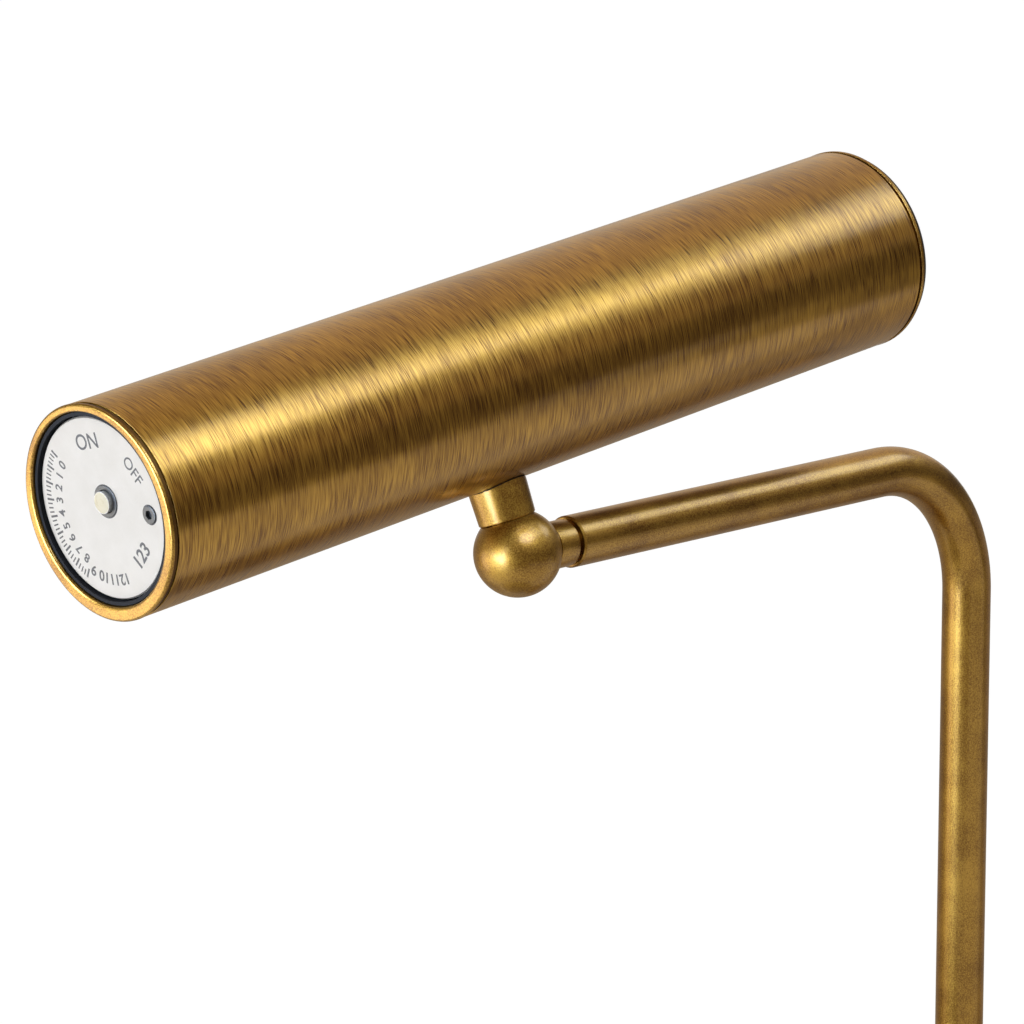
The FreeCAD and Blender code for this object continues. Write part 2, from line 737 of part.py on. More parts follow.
# ---------------------------------------------------------------------------------------------
# Shade
# ---------------------------------------------------------------------------------------------
def aperture_tool(margin):
    """A bar with rounded corners, the shape of the light opening, looking along the light."""
    half = aperture_w / 2 + margin
    bar = block((aperture_start_x - margin, aperture_end_x + margin), (0, shade_d), (-half, half))
    upright = [edge for edge in bar.Edges if abs(edge.tangentAt(0).dot(Y_AXIS)) > 0.9]
    return bar.makeFillet(aperture_corner_r, upright)


def shade_tube():
    """Brass tube with the light opening and the hole for the stem's nipple."""
    tube = washer(shade_r, shade_bore_r, tube_front_x, tube_back_x, X_AXIS)
    opening = aperture_tool(0)
    opening.rotate(ORIGIN, X_AXIS, -aperture_turn)
    return tube.cut(opening).cut(rod(nipple_r + seat_gap, -shade_d, 0))


def end_ring():
    """Rolled brass ring at the switch end, pressed into the tube."""
    bead_end = front_x + ring_w
    bead = rod(ring_r, front_x, bead_end, X_AXIS)
    body = bead.fuse(rod(insert_r, bead_end, ring_inner_end_x, X_AXIS)).removeSplitter()
    body = body.cut(rod(ring_bore_r, front_x - cut_over, ring_inner_end_x + cut_over, X_AXIS, BORE_FOOT))
    body = round_edges(body, ring_edge_r, [(ring_r, front_x, X_AXIS)])
    return round_edges(body, ring_inner_edge_r, [(ring_bore_r, front_x, X_AXIS), (ring_r, bead_end, X_AXIS)])


def far_cap():
    """Turned brass cap at the far end: land, bevel, shallow dome and a spigot inside the tube."""
    land_end = cap_front_x + cap_land
    flange_end = cap_front_x + cap_w
    dome_r = cap_r - cap_bevel
    flange = turned([(cap_front_x, 0), (cap_front_x, cap_r), (land_end, cap_r), (flange_end, dome_r),
                     (flange_end, 0)], X_AXIS)
    flange = round_edges(flange, cap_edge_r, [(cap_r, cap_front_x, X_AXIS), (cap_r, land_end, X_AXIS)])
    sphere_r = (dome_r ** 2 + cap_dome ** 2) / (2 * cap_dome)
    dome = Part.makeSphere(sphere_r, Vector(back_x - sphere_r, 0, 0))
    dome = dome.common(rod(dome_r, land_end, back_x + cut_over, X_AXIS))
    spigot = rod(insert_r, cap_front_x - cap_spigot, cap_front_x, X_AXIS)
    body = flange.fuse([dome, spigot]).removeSplitter()
    hollow = rod(insert_r - spigot_wall, cap_front_x - cap_spigot - cut_over, flange_end - cap_floor, X_AXIS)
    return body.cut(hollow)


# ---------------------------------------------------------------------------------------------
# Light box, in the frame that looks along the light
# ---------------------------------------------------------------------------------------------
def light_carrier():
    """Aluminium extrusion: a cross plate that carries the board and two walls up to the opening."""
    span = (carrier_start_x, carrier_end_x)
    body = block(span, (carrier_back_y, -carrier_drop), (-shade_r, shade_r))
    ledge_top = math.sqrt((diffuser_r - diffuser_t) ** 2 - diffuser_half_w ** 2) - seat_gap
    for side in (-1, 1):
        z_wall = sorted((side * wall_in_z, side * (wall_in_z + wall_t)))
        z_ledge = sorted((side * (wall_in_z - ledge_t), side * wall_in_z))
        body = body.fuse(block(span, (carrier_back_y, shade_r), z_wall))
        body = body.fuse(block(span, (ledge_top - ledge_h, ledge_top), z_ledge))
    body = body.removeSplitter().common(rod(inside_r, span[0], span[1], X_AXIS))
    half = lead_notch_w / 2
    notch = block((-half, half), (carrier_back_y - cut_over, cut_over - carrier_drop),
                  (-shade_r, -(wall_in_z + wall_t)))
    body = body.cut(notch)
    for x, z in board_screw_places() + driver_screw_places() + leg_screw_places():
        body = body.cut(rod(m3_r + seat_gap, carrier_back_y - cut_over, cut_over - carrier_drop, Y_AXIS,
                            Vector(x, 0, z)))
    return body


def light_box_ends():
    """White plastic end walls of the light box, clipped between its side walls."""
    pieces = []
    inner = diffuser_r - diffuser_t - loose_gap
    for start in (carrier_start_x, box_end_x):
        wall = block((start, start + wall_t), (seat_gap - carrier_drop, shade_r),
                     (-wall_in_z + ledge_t + seat_gap, wall_in_z - ledge_t - seat_gap))
        pieces.append(wall.common(rod(inner, start - cut_over, start + wall_t + cut_over, X_AXIS)))
    return Part.makeCompound(pieces)


def diffuser():
    """Opal lens, curved like the tube, lying on the light box's ledges behind the opening."""
    start = aperture_start_x - diffuser_lap
    end = aperture_end_x + diffuser_lap
    shell = washer(diffuser_r, diffuser_r - diffuser_t, start, end, X_AXIS)
    return shell.common(block((start, end), (0, shade_r), (-diffuser_half_w, diffuser_half_w)))


def board_screw_places():
    """Screws of the light board, evenly spaced between its ends, in plan (x, z)."""
    first = led_board_start_x + screw_to_board_end
    last = led_board_end_x - screw_to_board_end
    step = (last - first) / (led_board_screws - 1)
    return [(first + number * step, 0) for number in range(led_board_screws)]


def led_places():
    """Centres of the light-emitting chips along the board, kept clear of its screws."""
    count = int((led_board_end_x - led_board_start_x) // led_pitch) - 1
    start = (led_board_start_x + led_board_end_x) / 2 - (count - 1) * led_pitch / 2
    centres = [start + number * led_pitch for number in range(count)]
    screws = [x for x, z in board_screw_places()]
    room = m3_head_r + led_length / 2 + loose_gap
    return [x for x in centres if min(abs(x - place) for place in screws) > room]


def led_board():
    half = led_board_w / 2
    y_span = (-carrier_drop, led_board_t - carrier_drop)
    board = block((led_board_start_x, led_board_end_x), y_span, (-half, half))
    for x, z in board_screw_places():
        board = board.cut(rod(m3_r + seat_gap, -carrier_drop - cut_over, cut_over, Y_AXIS, Vector(x, 0, z)))
    return board


def led_chips():
    """One emitter after another down the middle of the board."""
    low = led_board_t - carrier_drop
    chips = []
    for x in led_places():
        x_span = (x - led_length / 2, x + led_length / 2)
        chips.append(block(x_span, (low, low + led_h), (-led_w / 2, led_w / 2)))
    return Part.makeCompound(chips)


def board_screws():
    """Screws that hold the light board on the carrier."""
    top = led_board_t - carrier_drop
    screws = []
    for x, z in board_screw_places():
        foot = Vector(x, top + m3_head_h, z)
        screws.append(screw(m3_head_r, m3_head_h, m3_r, led_board_t + carrier_t, Y_AXIS * -1, foot))
    return Part.makeCompound(screws)


def driver_screw_places():
    """Screws through the driver housing's end tabs, in plan (x, z)."""
    low = driver_from_stem - tab_length / 2
    high = driver_from_stem + driver_length + tab_length / 2
    return [(low, 0), (high, 0)]


def driver_housing():
    """Open plastic box behind the carrier, with a tab at each end and holes for its two leads."""
    x_span = (driver_from_stem, driver_from_stem + driver_length)
    half = driver_w / 2
    back = carrier_back_y - driver_h
    box = block(x_span, (back, carrier_back_y), (-half, half))
    inner = block((x_span[0] + driver_wall, x_span[1] - driver_wall), (back + driver_wall, cut_over),
                  (driver_wall - half, half - driver_wall))
    tabs = block((x_span[0] - tab_length, x_span[1] + tab_length), (carrier_back_y - tab_t, carrier_back_y),
                 (-half / 2, half / 2))
    box = box.fuse(tabs).removeSplitter().cut(inner)
    for x, z in driver_screw_places():
        box = box.cut(rod(m3_r + seat_gap, back, 0, Y_AXIS, Vector(x, 0, z)))
    lead_way = rod(switch_lead_r + seat_gap, -cut_over, driver_wall + cut_over, X_AXIS,
                   Vector(x_span[0], switch_lead_y, 0))
    return box.cut(lead_way).cut(supply_mouth_tool())


def supply_mouth_tool():
    """Cutter for the supply lead's way through the housing's wall, along the lead's last run."""
    tool = rod(lead_r + loose_gap, -shade_r, supply_end_z + cut_over, Z_AXIS, Vector(0, -supply_aside, 0))
    tool.rotate(ORIGIN, X_AXIS, aperture_turn)
    return tool


def driver_board():
    """Circuit board on the housing's floor."""
    x_span = (driver_from_stem + driver_wall + loose_gap,
              driver_from_stem + driver_length - driver_wall - loose_gap)
    half = driver_w / 2 - driver_wall - loose_gap
    low = carrier_back_y - driver_h + driver_wall
    return block(x_span, (low, low + driver_board_t), (-half, half))


def driver_components():
    """Transformer, choke and capacitors standing on the driver's board."""
    low = carrier_back_y - driver_h + driver_wall + driver_board_t
    middle = driver_from_stem + driver_length / 2
    pieces = []
    boxes = [(transformer_size, transformer_from_middle, -transformer_size[2] / 2),
             (choke_size, choke_from_middle, choke_aside)]
    for (length, height, width), along, aside in boxes:
        start = middle + along
        pieces.append(block((start, start + length), (low, low + height), (aside, aside + width)))
    for along in capacitor_places:
        foot = Vector(middle + along, 0, capacitor_aside)
        pieces.append(rod(capacitor_d / 2, low, low + capacitor_h, Y_AXIS, foot))
    return Part.makeCompound(pieces)


def driver_screws():
    """Screws from the housing's tabs into the carrier."""
    screws = []
    for x, z in driver_screw_places():
        foot = Vector(x, carrier_back_y - tab_t - m3_head_h, z)
        screws.append(screw(m3_head_r, m3_head_h, m3_r, tab_t + carrier_t, Y_AXIS, foot))
    return Part.makeCompound(screws)


def supply_lead():
    """Lead from inside the ball up the nipple, round behind the carrier and into the driver."""
    start = nipple_bottom - shade_offset + seat_gap
    points = [Z_AXIS * start, Z_AXIS * supply_turn_z, Vector(0, -supply_aside, supply_turn_z),
              Vector(0, -supply_aside, supply_end_z)]
    return round_bar_along(points, lead_r, supply_bend_r)


def switch_lead():
    """Lead from the switch board to the driver."""
    start = switch_back_x + switch_board_t + seat_gap
    end = driver_from_stem + driver_wall
    return rod(switch_lead_r, start, end, X_AXIS, Vector(0, switch_lead_y, 0))


# ---------------------------------------------------------------------------------------------
# Switch end
# ---------------------------------------------------------------------------------------------
def plate_screw_foot():
    return Vector(plate_front_x - plate_screw_proud, plate_screw_y, plate_screw_z)


def end_plate():
    """White round plate with the button's hole near its middle and one countersunk screw place."""
    disc = rod(plate_r, plate_front_x, plate_back_x, X_AXIS, BORE_FOOT)
    disc = round_edges(disc, plate_edge, [(plate_r, plate_front_x, X_AXIS)], bevel=True)
    disc = disc.cut(rod(bezel_r + seat_gap, plate_front_x - cut_over, plate_back_x + cut_over, X_AXIS,
                        BUTTON_FOOT))
    foot = plate_screw_foot()
    disc = disc.cut(rod(m3_head_r + seat_gap, 0, m3_head_h, X_AXIS, foot))
    return disc.cut(rod(m3_r + seat_gap, 0, plate_t + m3_head_h, X_AXIS, foot))


def plate_screw():
    return screw(m3_head_r, m3_head_h, m3_r, plate_screw_length, X_AXIS, plate_screw_foot())


def leg_screw_places():
    """Screws that tie the bracket's legs to the carrier, in plan (x, z)."""
    return [(carrier_start_x + leg_lap / 2, side * leg_z) for side in (-1, 1)]


def end_bracket():
    """Black moulded cup: it frames the plate, holds the switch and is trapped by the end ring."""
    cup_r = ring_bore_r - loose_gap
    lip_x = plate_front_x - bracket_lip_h
    flange_x = ring_inner_end_x + loose_gap
    cup = rod(cup_r, lip_x, flange_x, X_AXIS, BORE_FOOT)
    cup = cup.fuse(rod(inside_r, flange_x, bracket_end_x, X_AXIS)).removeSplitter()
    cup = cup.cut(rod(cup_r - bracket_lip_t, lip_x - cut_over, plate_back_x, X_AXIS, BORE_FOOT))
    cup = cup.cut(rod(cup_r - bracket_wall, disc_back_x, bracket_end_x + cut_over, X_AXIS, BORE_FOOT))
    cup = cup.cut(rod(bezel_r + seat_gap, plate_back_x - cut_over, disc_back_x + cut_over, X_AXIS,
                      BUTTON_FOOT))
    foot = plate_screw_foot()
    boss_end = foot.x + m3_head_h + plate_screw_length
    boss = rod(m3_head_r + seat_gap, disc_back_x - foot.x - seat_gap, boss_end - foot.x, X_AXIS, foot)
    board_r = switch_board_d / 2
    board_seat = washer(board_r, board_r - bracket_wall, disc_back_x, switch_back_x, X_AXIS)
    cup = cup.fuse([boss, board_seat]).removeSplitter()
    cup = cup.cut(rod(m3_r + seat_gap, 0, boss_end - foot.x + cut_over, X_AXIS, foot))
    legs = []
    for x, z in leg_screw_places():
        half = (leg_out_z - leg_in_z) / 2
        leg = block((flange_x, carrier_start_x + leg_lap), (carrier_back_y - leg_t, carrier_back_y),
                    (z - half, z + half))
        leg = leg.cut(rod(m3_r + seat_gap, carrier_back_y - leg_t - cut_over, 0, Y_AXIS, Vector(x, 0, z)))
        legs.append(leg)
    turn_back = FreeCAD.Placement(ORIGIN, FreeCAD.Rotation(X_AXIS, -aperture_turn))
    return cup.fuse([placed(leg, turn_back) for leg in legs]).removeSplitter()


def bracket_screws():
    """Screws through the carrier's wings into the bracket's legs."""
    screws = []
    for x, z in leg_screw_places():
        foot = Vector(x, m3_head_h - carrier_drop, z)
        screws.append(screw(m3_head_r, m3_head_h, m3_r, carrier_t + leg_t, Y_AXIS * -1, foot))
    return Part.makeCompound(screws)


def button_bezel():
    """Nickel-plated bezel pressed into the plate; its step keeps the button in."""
    body = rod(bezel_lip_d / 2, bezel_front_x, plate_front_x, X_AXIS)
    body = round_edges(body, bezel_edge_r, [(bezel_lip_d / 2, bezel_front_x, X_AXIS)])
    body = body.fuse(rod(bezel_r, plate_front_x, bezel_back_x, X_AXIS)).removeSplitter()
    end = bezel_back_x + cut_over
    body = body.cut(rod(button_d / 2 + button_play, bezel_front_x - cut_over, end, X_AXIS))
    return body.cut(rod(button_flange_d / 2 + button_play, button_flange_x - button_play, end, X_AXIS))


def button_cap():
    """Cream button with a low dome, a retaining flange and the plunger that works the switch."""
    radius = button_d / 2
    sphere_r = (radius ** 2 + button_dome ** 2) / (2 * button_dome)
    dome = Part.makeSphere(sphere_r, Vector(button_front_x + sphere_r, 0, 0))
    face = rod(radius, button_front_x - cut_over, button_flange_x, X_AXIS).common(dome)
    flange = rod(button_flange_d / 2, button_flange_x, button_flange_x + button_flange_t, X_AXIS)
    plunger = rod(plunger_d / 2, button_flange_x, switch_front_x + plunger_in, X_AXIS)
    return face.fuse([flange, plunger]).removeSplitter()


def button_spring():
    """Return spring around the plunger, between the button's flange and the switch."""
    low = button_flange_x + button_flange_t + seat_gap + spring_wire_d
    high = switch_front_x - seat_gap - spring_wire_d
    coil_r = spring_coil_d / 2
    steps = spring_turns * spring_corners
    points = []
    for step in range(steps + 1):
        turn = 2 * math.pi * step / spring_corners
        along = low + (high - low) * step / steps
        points.append(Vector(along, coil_r * math.cos(turn), coil_r * math.sin(turn)))
    return round_bar_along(points, spring_wire_d / 2, coil_r * math.cos(math.pi / spring_corners) - seat_gap)


def switch_body():
    """Push switch on the board, behind the button, with a bore for the plunger."""
    half = switch_size / 2
    body = block((switch_front_x, switch_back_x), (-half, half), (-half, half))
    bore_end = switch_front_x + switch_bore_depth
    return body.cut(rod(plunger_d / 2 + loose_gap, switch_front_x - cut_over, bore_end, X_AXIS))


def switch_board():
    return rod(switch_board_d / 2, switch_back_x, switch_back_x + switch_board_t, X_AXIS)


# ---------------------------------------------------------------------------------------------
# The lamp: every piece in its place
# ---------------------------------------------------------------------------------------------
LAMP_FRAME = FreeCAD.Placement()
PIECES = [
    (LAMP_FRAME, [felt_pad, base_weight, base_cover, swivel_bush, thrust_washer, base_collar,
                  collar_grub_screw, flat_washer, cord_grommet, terminal_block, terminal_screws, base_lead,
                  post_arm_tube, post_plug, spindle, post_spring_washer, lock_nuts, arm_lead]),
    (ARM_FRAME, [arm_bush]),
    (BALL_FRAME, [ball_shell, neck, neck_spring_washer, neck_nut]),
    (TILT_FRAME, [ball_washer]),
    (STEM_FRAME, [stem, stem_gasket, stem_nipple, ball_nut, ball_spring_washer]),
    (SHADE_FRAME, [saddle_washer, shade_nut, shade_tube, end_ring, far_cap, supply_lead, end_plate,
                   plate_screw, end_bracket, switch_board]),
    (BUTTON_FRAME, [button_bezel, button_cap, button_spring, switch_body]),
    (LIGHT_FRAME, [light_carrier, light_box_ends, diffuser, led_board, led_chips, board_screws,
                   driver_housing, driver_board, driver_components, driver_screws, bracket_screws,
                   switch_lead]),
]

os.makedirs("parts", exist_ok=True)
for frame, makers in PIECES:
    for make in makers:
        piece = placed(make(), frame)
        piece.exportStep("parts/" + make.__name__ + ".step")
        box = piece.BoundBox
        print(make.__name__, "solids", len(piece.Solids), "volume", round(piece.Volume, 1),
              "valid", piece.isValid(), "x", round(box.XMin, 1), round(box.XMax, 1),
              "z", round(box.ZMin, 1), round(box.ZMax, 1))
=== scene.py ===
# %% [markdown]
# # A brass piano lamp around its CAD frame
# The lamp is a brushed tubular shade on a ball swivel, held out by one bent tube that rises from a
# weighted base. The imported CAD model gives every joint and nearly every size. This script dresses it:
# each turned or bent piece is made again with fine rounded edges, and gets the finish of the real metal.

# %% Load the frame
import json
import math

import bmesh
import bpy
from mathutils import Matrix, Vector


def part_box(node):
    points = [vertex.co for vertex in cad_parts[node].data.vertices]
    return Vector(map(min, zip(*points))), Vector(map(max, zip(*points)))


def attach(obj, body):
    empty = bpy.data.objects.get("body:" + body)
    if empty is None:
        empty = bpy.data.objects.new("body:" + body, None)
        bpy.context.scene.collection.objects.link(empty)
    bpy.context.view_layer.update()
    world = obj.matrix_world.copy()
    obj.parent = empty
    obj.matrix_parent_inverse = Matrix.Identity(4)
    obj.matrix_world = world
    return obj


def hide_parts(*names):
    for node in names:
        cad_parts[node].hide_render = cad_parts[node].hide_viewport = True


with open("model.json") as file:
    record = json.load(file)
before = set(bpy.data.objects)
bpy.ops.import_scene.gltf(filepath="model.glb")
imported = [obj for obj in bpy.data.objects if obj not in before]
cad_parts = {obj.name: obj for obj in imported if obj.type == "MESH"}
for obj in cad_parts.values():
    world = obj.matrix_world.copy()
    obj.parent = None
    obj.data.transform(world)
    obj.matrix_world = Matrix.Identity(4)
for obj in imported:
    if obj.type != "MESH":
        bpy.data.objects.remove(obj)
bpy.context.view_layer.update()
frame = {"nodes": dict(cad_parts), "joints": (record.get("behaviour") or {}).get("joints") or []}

MM = 0.001

# %% [markdown]
# ## The lamp's own directions
# The shade is turned and tilted on its ball, so its pieces are easiest to make along their own axis and
# then placed. The joints hold those axes: the stem turns about its own line, and the button slides along
# the shade. `place` builds the matrix that takes a piece from its own X axis, about which every piece here
# is turned, to where it belongs, and `span` measures a CAD node in that same frame.

# %% Axes and frames from the joints
joints = {joint["name"]: joint for joint in frame["joints"]}
BALL_CENTRE = Vector(joints["ball_spin"]["pos_m"])
ARM_AXIS = Vector(joints["ball_spin"]["axis"]).normalized()
STEM_AXIS = Vector(joints["shade_swivel"]["axis"]).normalized()
SHADE_AXIS = Vector(joints["button_push"]["axis"]).normalized()
UP = Vector((0, 0, 1))


def place(origin, along, up):
    """The matrix of a piece whose own X axis lies along, and whose own Z axis points up."""
    x = along.normalized()
    y = up.cross(x).normalized()
    z = x.cross(y)
    return Matrix.Translation(origin) @ Matrix((x, y, z)).transposed().to_4x4()


def span(node, where):
    """Lowest and highest corner of a CAD node, measured in the frame of a matrix."""
    into = where.inverted()
    points = [into @ vertex.co for vertex in frame["nodes"][node].data.vertices]
    low = Vector([min(point[axis] for point in points) for axis in range(3)])
    high = Vector([max(point[axis] for point in points) for axis in range(3)])
    return low, high


NECK = place(BALL_CENTRE, ARM_AXIS, UP)
STEM = place(BALL_CENTRE, STEM_AXIS, SHADE_AXIS)
tube_low, tube_high = span("shade_tube", place(BALL_CENTRE, SHADE_AXIS, STEM_AXIS))
SHADE_OFFSET = (tube_low.z + tube_high.z) / 2
SHADE = place(BALL_CENTRE + STEM_AXIS * SHADE_OFFSET, SHADE_AXIS, STEM_AXIS)
POST = place(Vector(), UP, ARM_AXIS)
print("shade axis above the ball's centre", round(SHADE_OFFSET / MM, 2), "mm")

# %% [markdown]
# ## The camera
# A long lens far away, as a catalogue picture usually has, so that lines stay nearly parallel. The camera
# is set by where the ball's centre falls in the picture, how far away it is, and the two angles that it
# looks along.

# %% Camera
PICTURE = 1024  # pixels each way
FOCAL = 5500  # focal length in those pixels
SENSOR = 36.0
BALL_PIXEL = (517.7, 553.1)
BALL_DISTANCE = 1.5633  # metres along the line of sight
HEADING = math.radians(43.68)  # line of sight, from the arm's axis towards +Y
PITCH = math.radians(11.87)  # and below level

sight = Vector((math.cos(PITCH) * math.cos(HEADING), math.cos(PITCH) * math.sin(HEADING),
                -math.sin(PITCH)))
right = Vector((math.sin(HEADING), -math.cos(HEADING), 0))
above = right.cross(sight)
aside = (BALL_PIXEL[0] - PICTURE / 2) / FOCAL * BALL_DISTANCE
below = (BALL_PIXEL[1] - PICTURE / 2) / FOCAL * BALL_DISTANCE


def shown(name, data):
    """A new object, linked into the scene."""
    thing = bpy.data.objects.new(name, data)
    bpy.context.scene.collection.objects.link(thing)
    return thing


camera_data = bpy.data.cameras.new("catalogue_camera")
camera_data.sensor_width = SENSOR
camera_data.lens = FOCAL / PICTURE * SENSOR
camera_data.clip_end = 50
camera = shown("catalogue_camera", camera_data)
camera_place = BALL_CENTRE - sight * BALL_DISTANCE - right * aside + above * below
camera.matrix_world = Matrix.Translation(camera_place) @ Matrix((right, above, -sight)).transposed().to_4x4()
bpy.context.scene.camera = camera
print("lens", round(camera_data.lens, 1), "mm, camera at", [round(c, 3) for c in camera_place])

# %% [markdown]
# ## Colours and nodes
# Colours are written as hex values, and one function turns them to the linear numbers of Blender's
# sockets. One more adds a shader node with its settings, values and links, so that a material reads as a
# list of layers.


# %% Helpers for materials
def linear(hex_colour):
    """An sRGB hex colour as linear red, green, blue and alpha."""
    values = [int(hex_colour[i:i + 2], 16) / 255 for i in (1, 3, 5)]
    return (*[v / 12.92 if v <= 0.04045 else ((v + 0.055) / 1.055) ** 2.4 for v in values], 1.0)


def add(tree, kind, values=None, stops=(), **settings):
    """Adds a node. Settings are its properties and stops a ramp's places and hex colours. A value is an
    input's number, another node's output, or another node, which stands for its first output."""
    node = tree.nodes.new("ShaderNode" + kind)
    for name, value in settings.items():
        setattr(node, name, value)
    for name, value in (values or {}).items():
        value = value.outputs[0] if isinstance(value, bpy.types.Node) else value
        if isinstance(value, bpy.types.NodeSocket):
            tree.links.new(value, node.inputs[name])
        else:
            node.inputs[name].default_value = value
    for number, (position, colour) in enumerate(stops):
        node.color_ramp.elements[number].position = position
        node.color_ramp.elements[number].color = linear(colour)
    return node


def blank(name):
    """A new material with an empty node tree, and its object coordinates."""
    material = bpy.data.materials.new(name)
    material.use_nodes = True
    tree = material.node_tree
    tree.nodes.clear()
    return material, tree, add(tree, "TexCoord").outputs["Object"]


def per(*sizes):
    """Texture scale for features of one size in millimetres, or of three along X, Y and Z."""
    scales = [1 / (size * MM) for size in sizes]
    return scales if len(scales) > 1 else scales[0]


# %% [markdown]
# ## Brushed brass
# The shade is a drawn brass tube, darkened, turned against an abrasive pad and then lacquered. The pad
# leaves fine scratches round the tube. They shape the highlight, which the anisotropic shader gives, and
# coarse ones show as paler and darker threads, which stretched noise gives. A real thread is 0.05 to
# 0.3 mm wide; here the finest is 0.28 mm, because a finer one would not show. Ageing leaves slow clouds.

# %% Brushed brass
AGED_BRASS_DARK = "#704a12"
AGED_BRASS_PALE = "#b98c36"


def brushed_brass():
    """Aged brass brushed round its own X axis and lacquered: warm, with fine threads and soft clouds."""
    material, tree, inside = blank("brass_aged_brushed_lacquered")
    clouds = add(tree, "TexNoise", {"Vector": inside, "Scale": per(24), "Detail": 2})
    sway = add(tree, "VectorMath", {0: clouds.outputs["Color"], 1: (1.2 * MM, 0, 0)}, operation="MULTIPLY")
    swayed = add(tree, "VectorMath", {0: inside, 1: sway}, operation="ADD")
    fine = add(tree, "Mapping", {"Vector": swayed, "Scale": per(0.28, 7, 7)})
    threads = add(tree, "TexNoise", {"Vector": fine, "Scale": 1, "Detail": 1, "Roughness": 0.5})
    coarse = add(tree, "Mapping", {"Vector": swayed, "Scale": per(1.7, 22, 22)})
    bands = add(tree, "TexNoise", {"Vector": coarse, "Scale": 1, "Detail": 2, "Roughness": 0.5})
    both = add(tree, "Mix", {"Factor": 0.2, "A": threads, "B": bands})
    tone = add(tree, "Mix", {"Factor": 0.2, "A": both, "B": clouds})
    ramp = add(tree, "ValToRGB", {"Fac": tone}, stops=((0.38, AGED_BRASS_DARK), (0.62, AGED_BRASS_PALE)))
    gloss = add(tree, "MapRange", {"Value": both, "From Min": 0.35, "From Max": 0.65,
                                   "To Min": 0.27, "To Max": 0.37})
    relief = add(tree, "Bump", {"Strength": 1.0, "Distance": 0.035 * MM, "Height": threads})
    round_tube = add(tree, "Tangent", direction_type="RADIAL", axis="X")
    shader = add(tree, "BsdfPrincipled", {
        "Base Color": ramp, "Metallic": 1.0, "Roughness": gloss, "Normal": relief, "Anisotropic": 0.6,
        "Anisotropic Rotation": 0.25, "Tangent": round_tube, "Coat Weight": 0.45, "Coat Roughness": 0.2})
    add(tree, "OutputMaterial", {"Surface": shader})
    return material


# %% [markdown]
# ## Satin brass
# The ball, stem, arm and rings are polished on a wheel with a fine compound, darkened and lacquered.
# There is no direction in that finish: a fine grain of about 0.4 mm, coarser than the real one so that it
# shows, lies over clouds of tone about 11 mm wide. The ball and the stem are a little softer in gloss.


# %% Satin brass
def satin_brass(name, rough_low, rough_high, dark, pale):
    """Wheel-polished aged brass: soft even gloss with faint mottles and a fine grain."""
    material, tree, inside = blank(name)
    clouds = add(tree, "TexNoise", {"Vector": inside, "Scale": per(11), "Detail": 2})
    grain = add(tree, "TexNoise", {"Vector": inside, "Scale": per(0.4), "Detail": 1, "Roughness": 0.5})
    tone = add(tree, "Mix", {"Factor": 0.6, "A": clouds, "B": grain})
    ramp = add(tree, "ValToRGB", {"Fac": tone}, stops=((0.38, dark), (0.62, pale)))
    gloss = add(tree, "MapRange", {"Value": tone, "From Min": 0.3, "From Max": 0.7,
                                   "To Min": rough_low, "To Max": rough_high})
    relief = add(tree, "Bump", {"Strength": 1.0, "Distance": 0.008 * MM, "Height": grain})
    shader = add(tree, "BsdfPrincipled", {
        "Base Color": ramp, "Metallic": 1.0, "Roughness": gloss, "Normal": relief,
        "Coat Weight": 0.45, "Coat Roughness": 0.22})
    add(tree, "OutputMaterial", {"Surface": shader})
    return material


BRUSHED = brushed_brass()
SATIN = satin_brass("brass_aged_satin_lacquered", 0.31, 0.39, "#7a5417", "#b08633")
SOFT_SATIN = satin_brass("brass_aged_soft_satin_lacquered", 0.37, 0.45, "#7a5417", "#b08633")
TURNED = satin_brass("brass_bare_turned", 0.22, 0.34, "#ab8649", "#cfaa66")
print("brass finishes:", BRUSHED.name, SATIN.name, SOFT_SATIN.name, TURNED.name)

# %% [markdown]
# ## Metals, plastics, felt and rubber
# The other finishes are simpler, but nothing made in a mould or a plating bath is perfectly even, so each
# varies a little in tone and gloss. One function covers them: two tones, grain size, gloss and relief come
# from what the real surface is.


# %% Everyday finishes
def surface(name, dark, pale, grain, rough_low, rough_high, relief, metallic=0.0, **more):
    """A surface that varies between two tones and two roughnesses over grains of a given size in mm."""
    material, tree, inside = blank(name)
    noise = add(tree, "TexNoise", {"Vector": inside, "Scale": per(grain), "Detail": 4, "Roughness": 0.6})
    ramp = add(tree, "ValToRGB", {"Fac": noise}, stops=((0.3, dark), (0.7, pale)))
    gloss = add(tree, "MapRange", {"Value": noise, "From Min": 0.3, "From Max": 0.7,
                                   "To Min": rough_low, "To Max": rough_high})
    bump = add(tree, "Bump", {"Strength": 0.3, "Distance": relief * MM, "Height": noise})
    shader = add(tree, "BsdfPrincipled", {
        "Base Color": ramp, "Metallic": metallic, "Roughness": gloss, "Normal": bump, **more})
    add(tree, "OutputMaterial", {"Surface": shader})
    return material


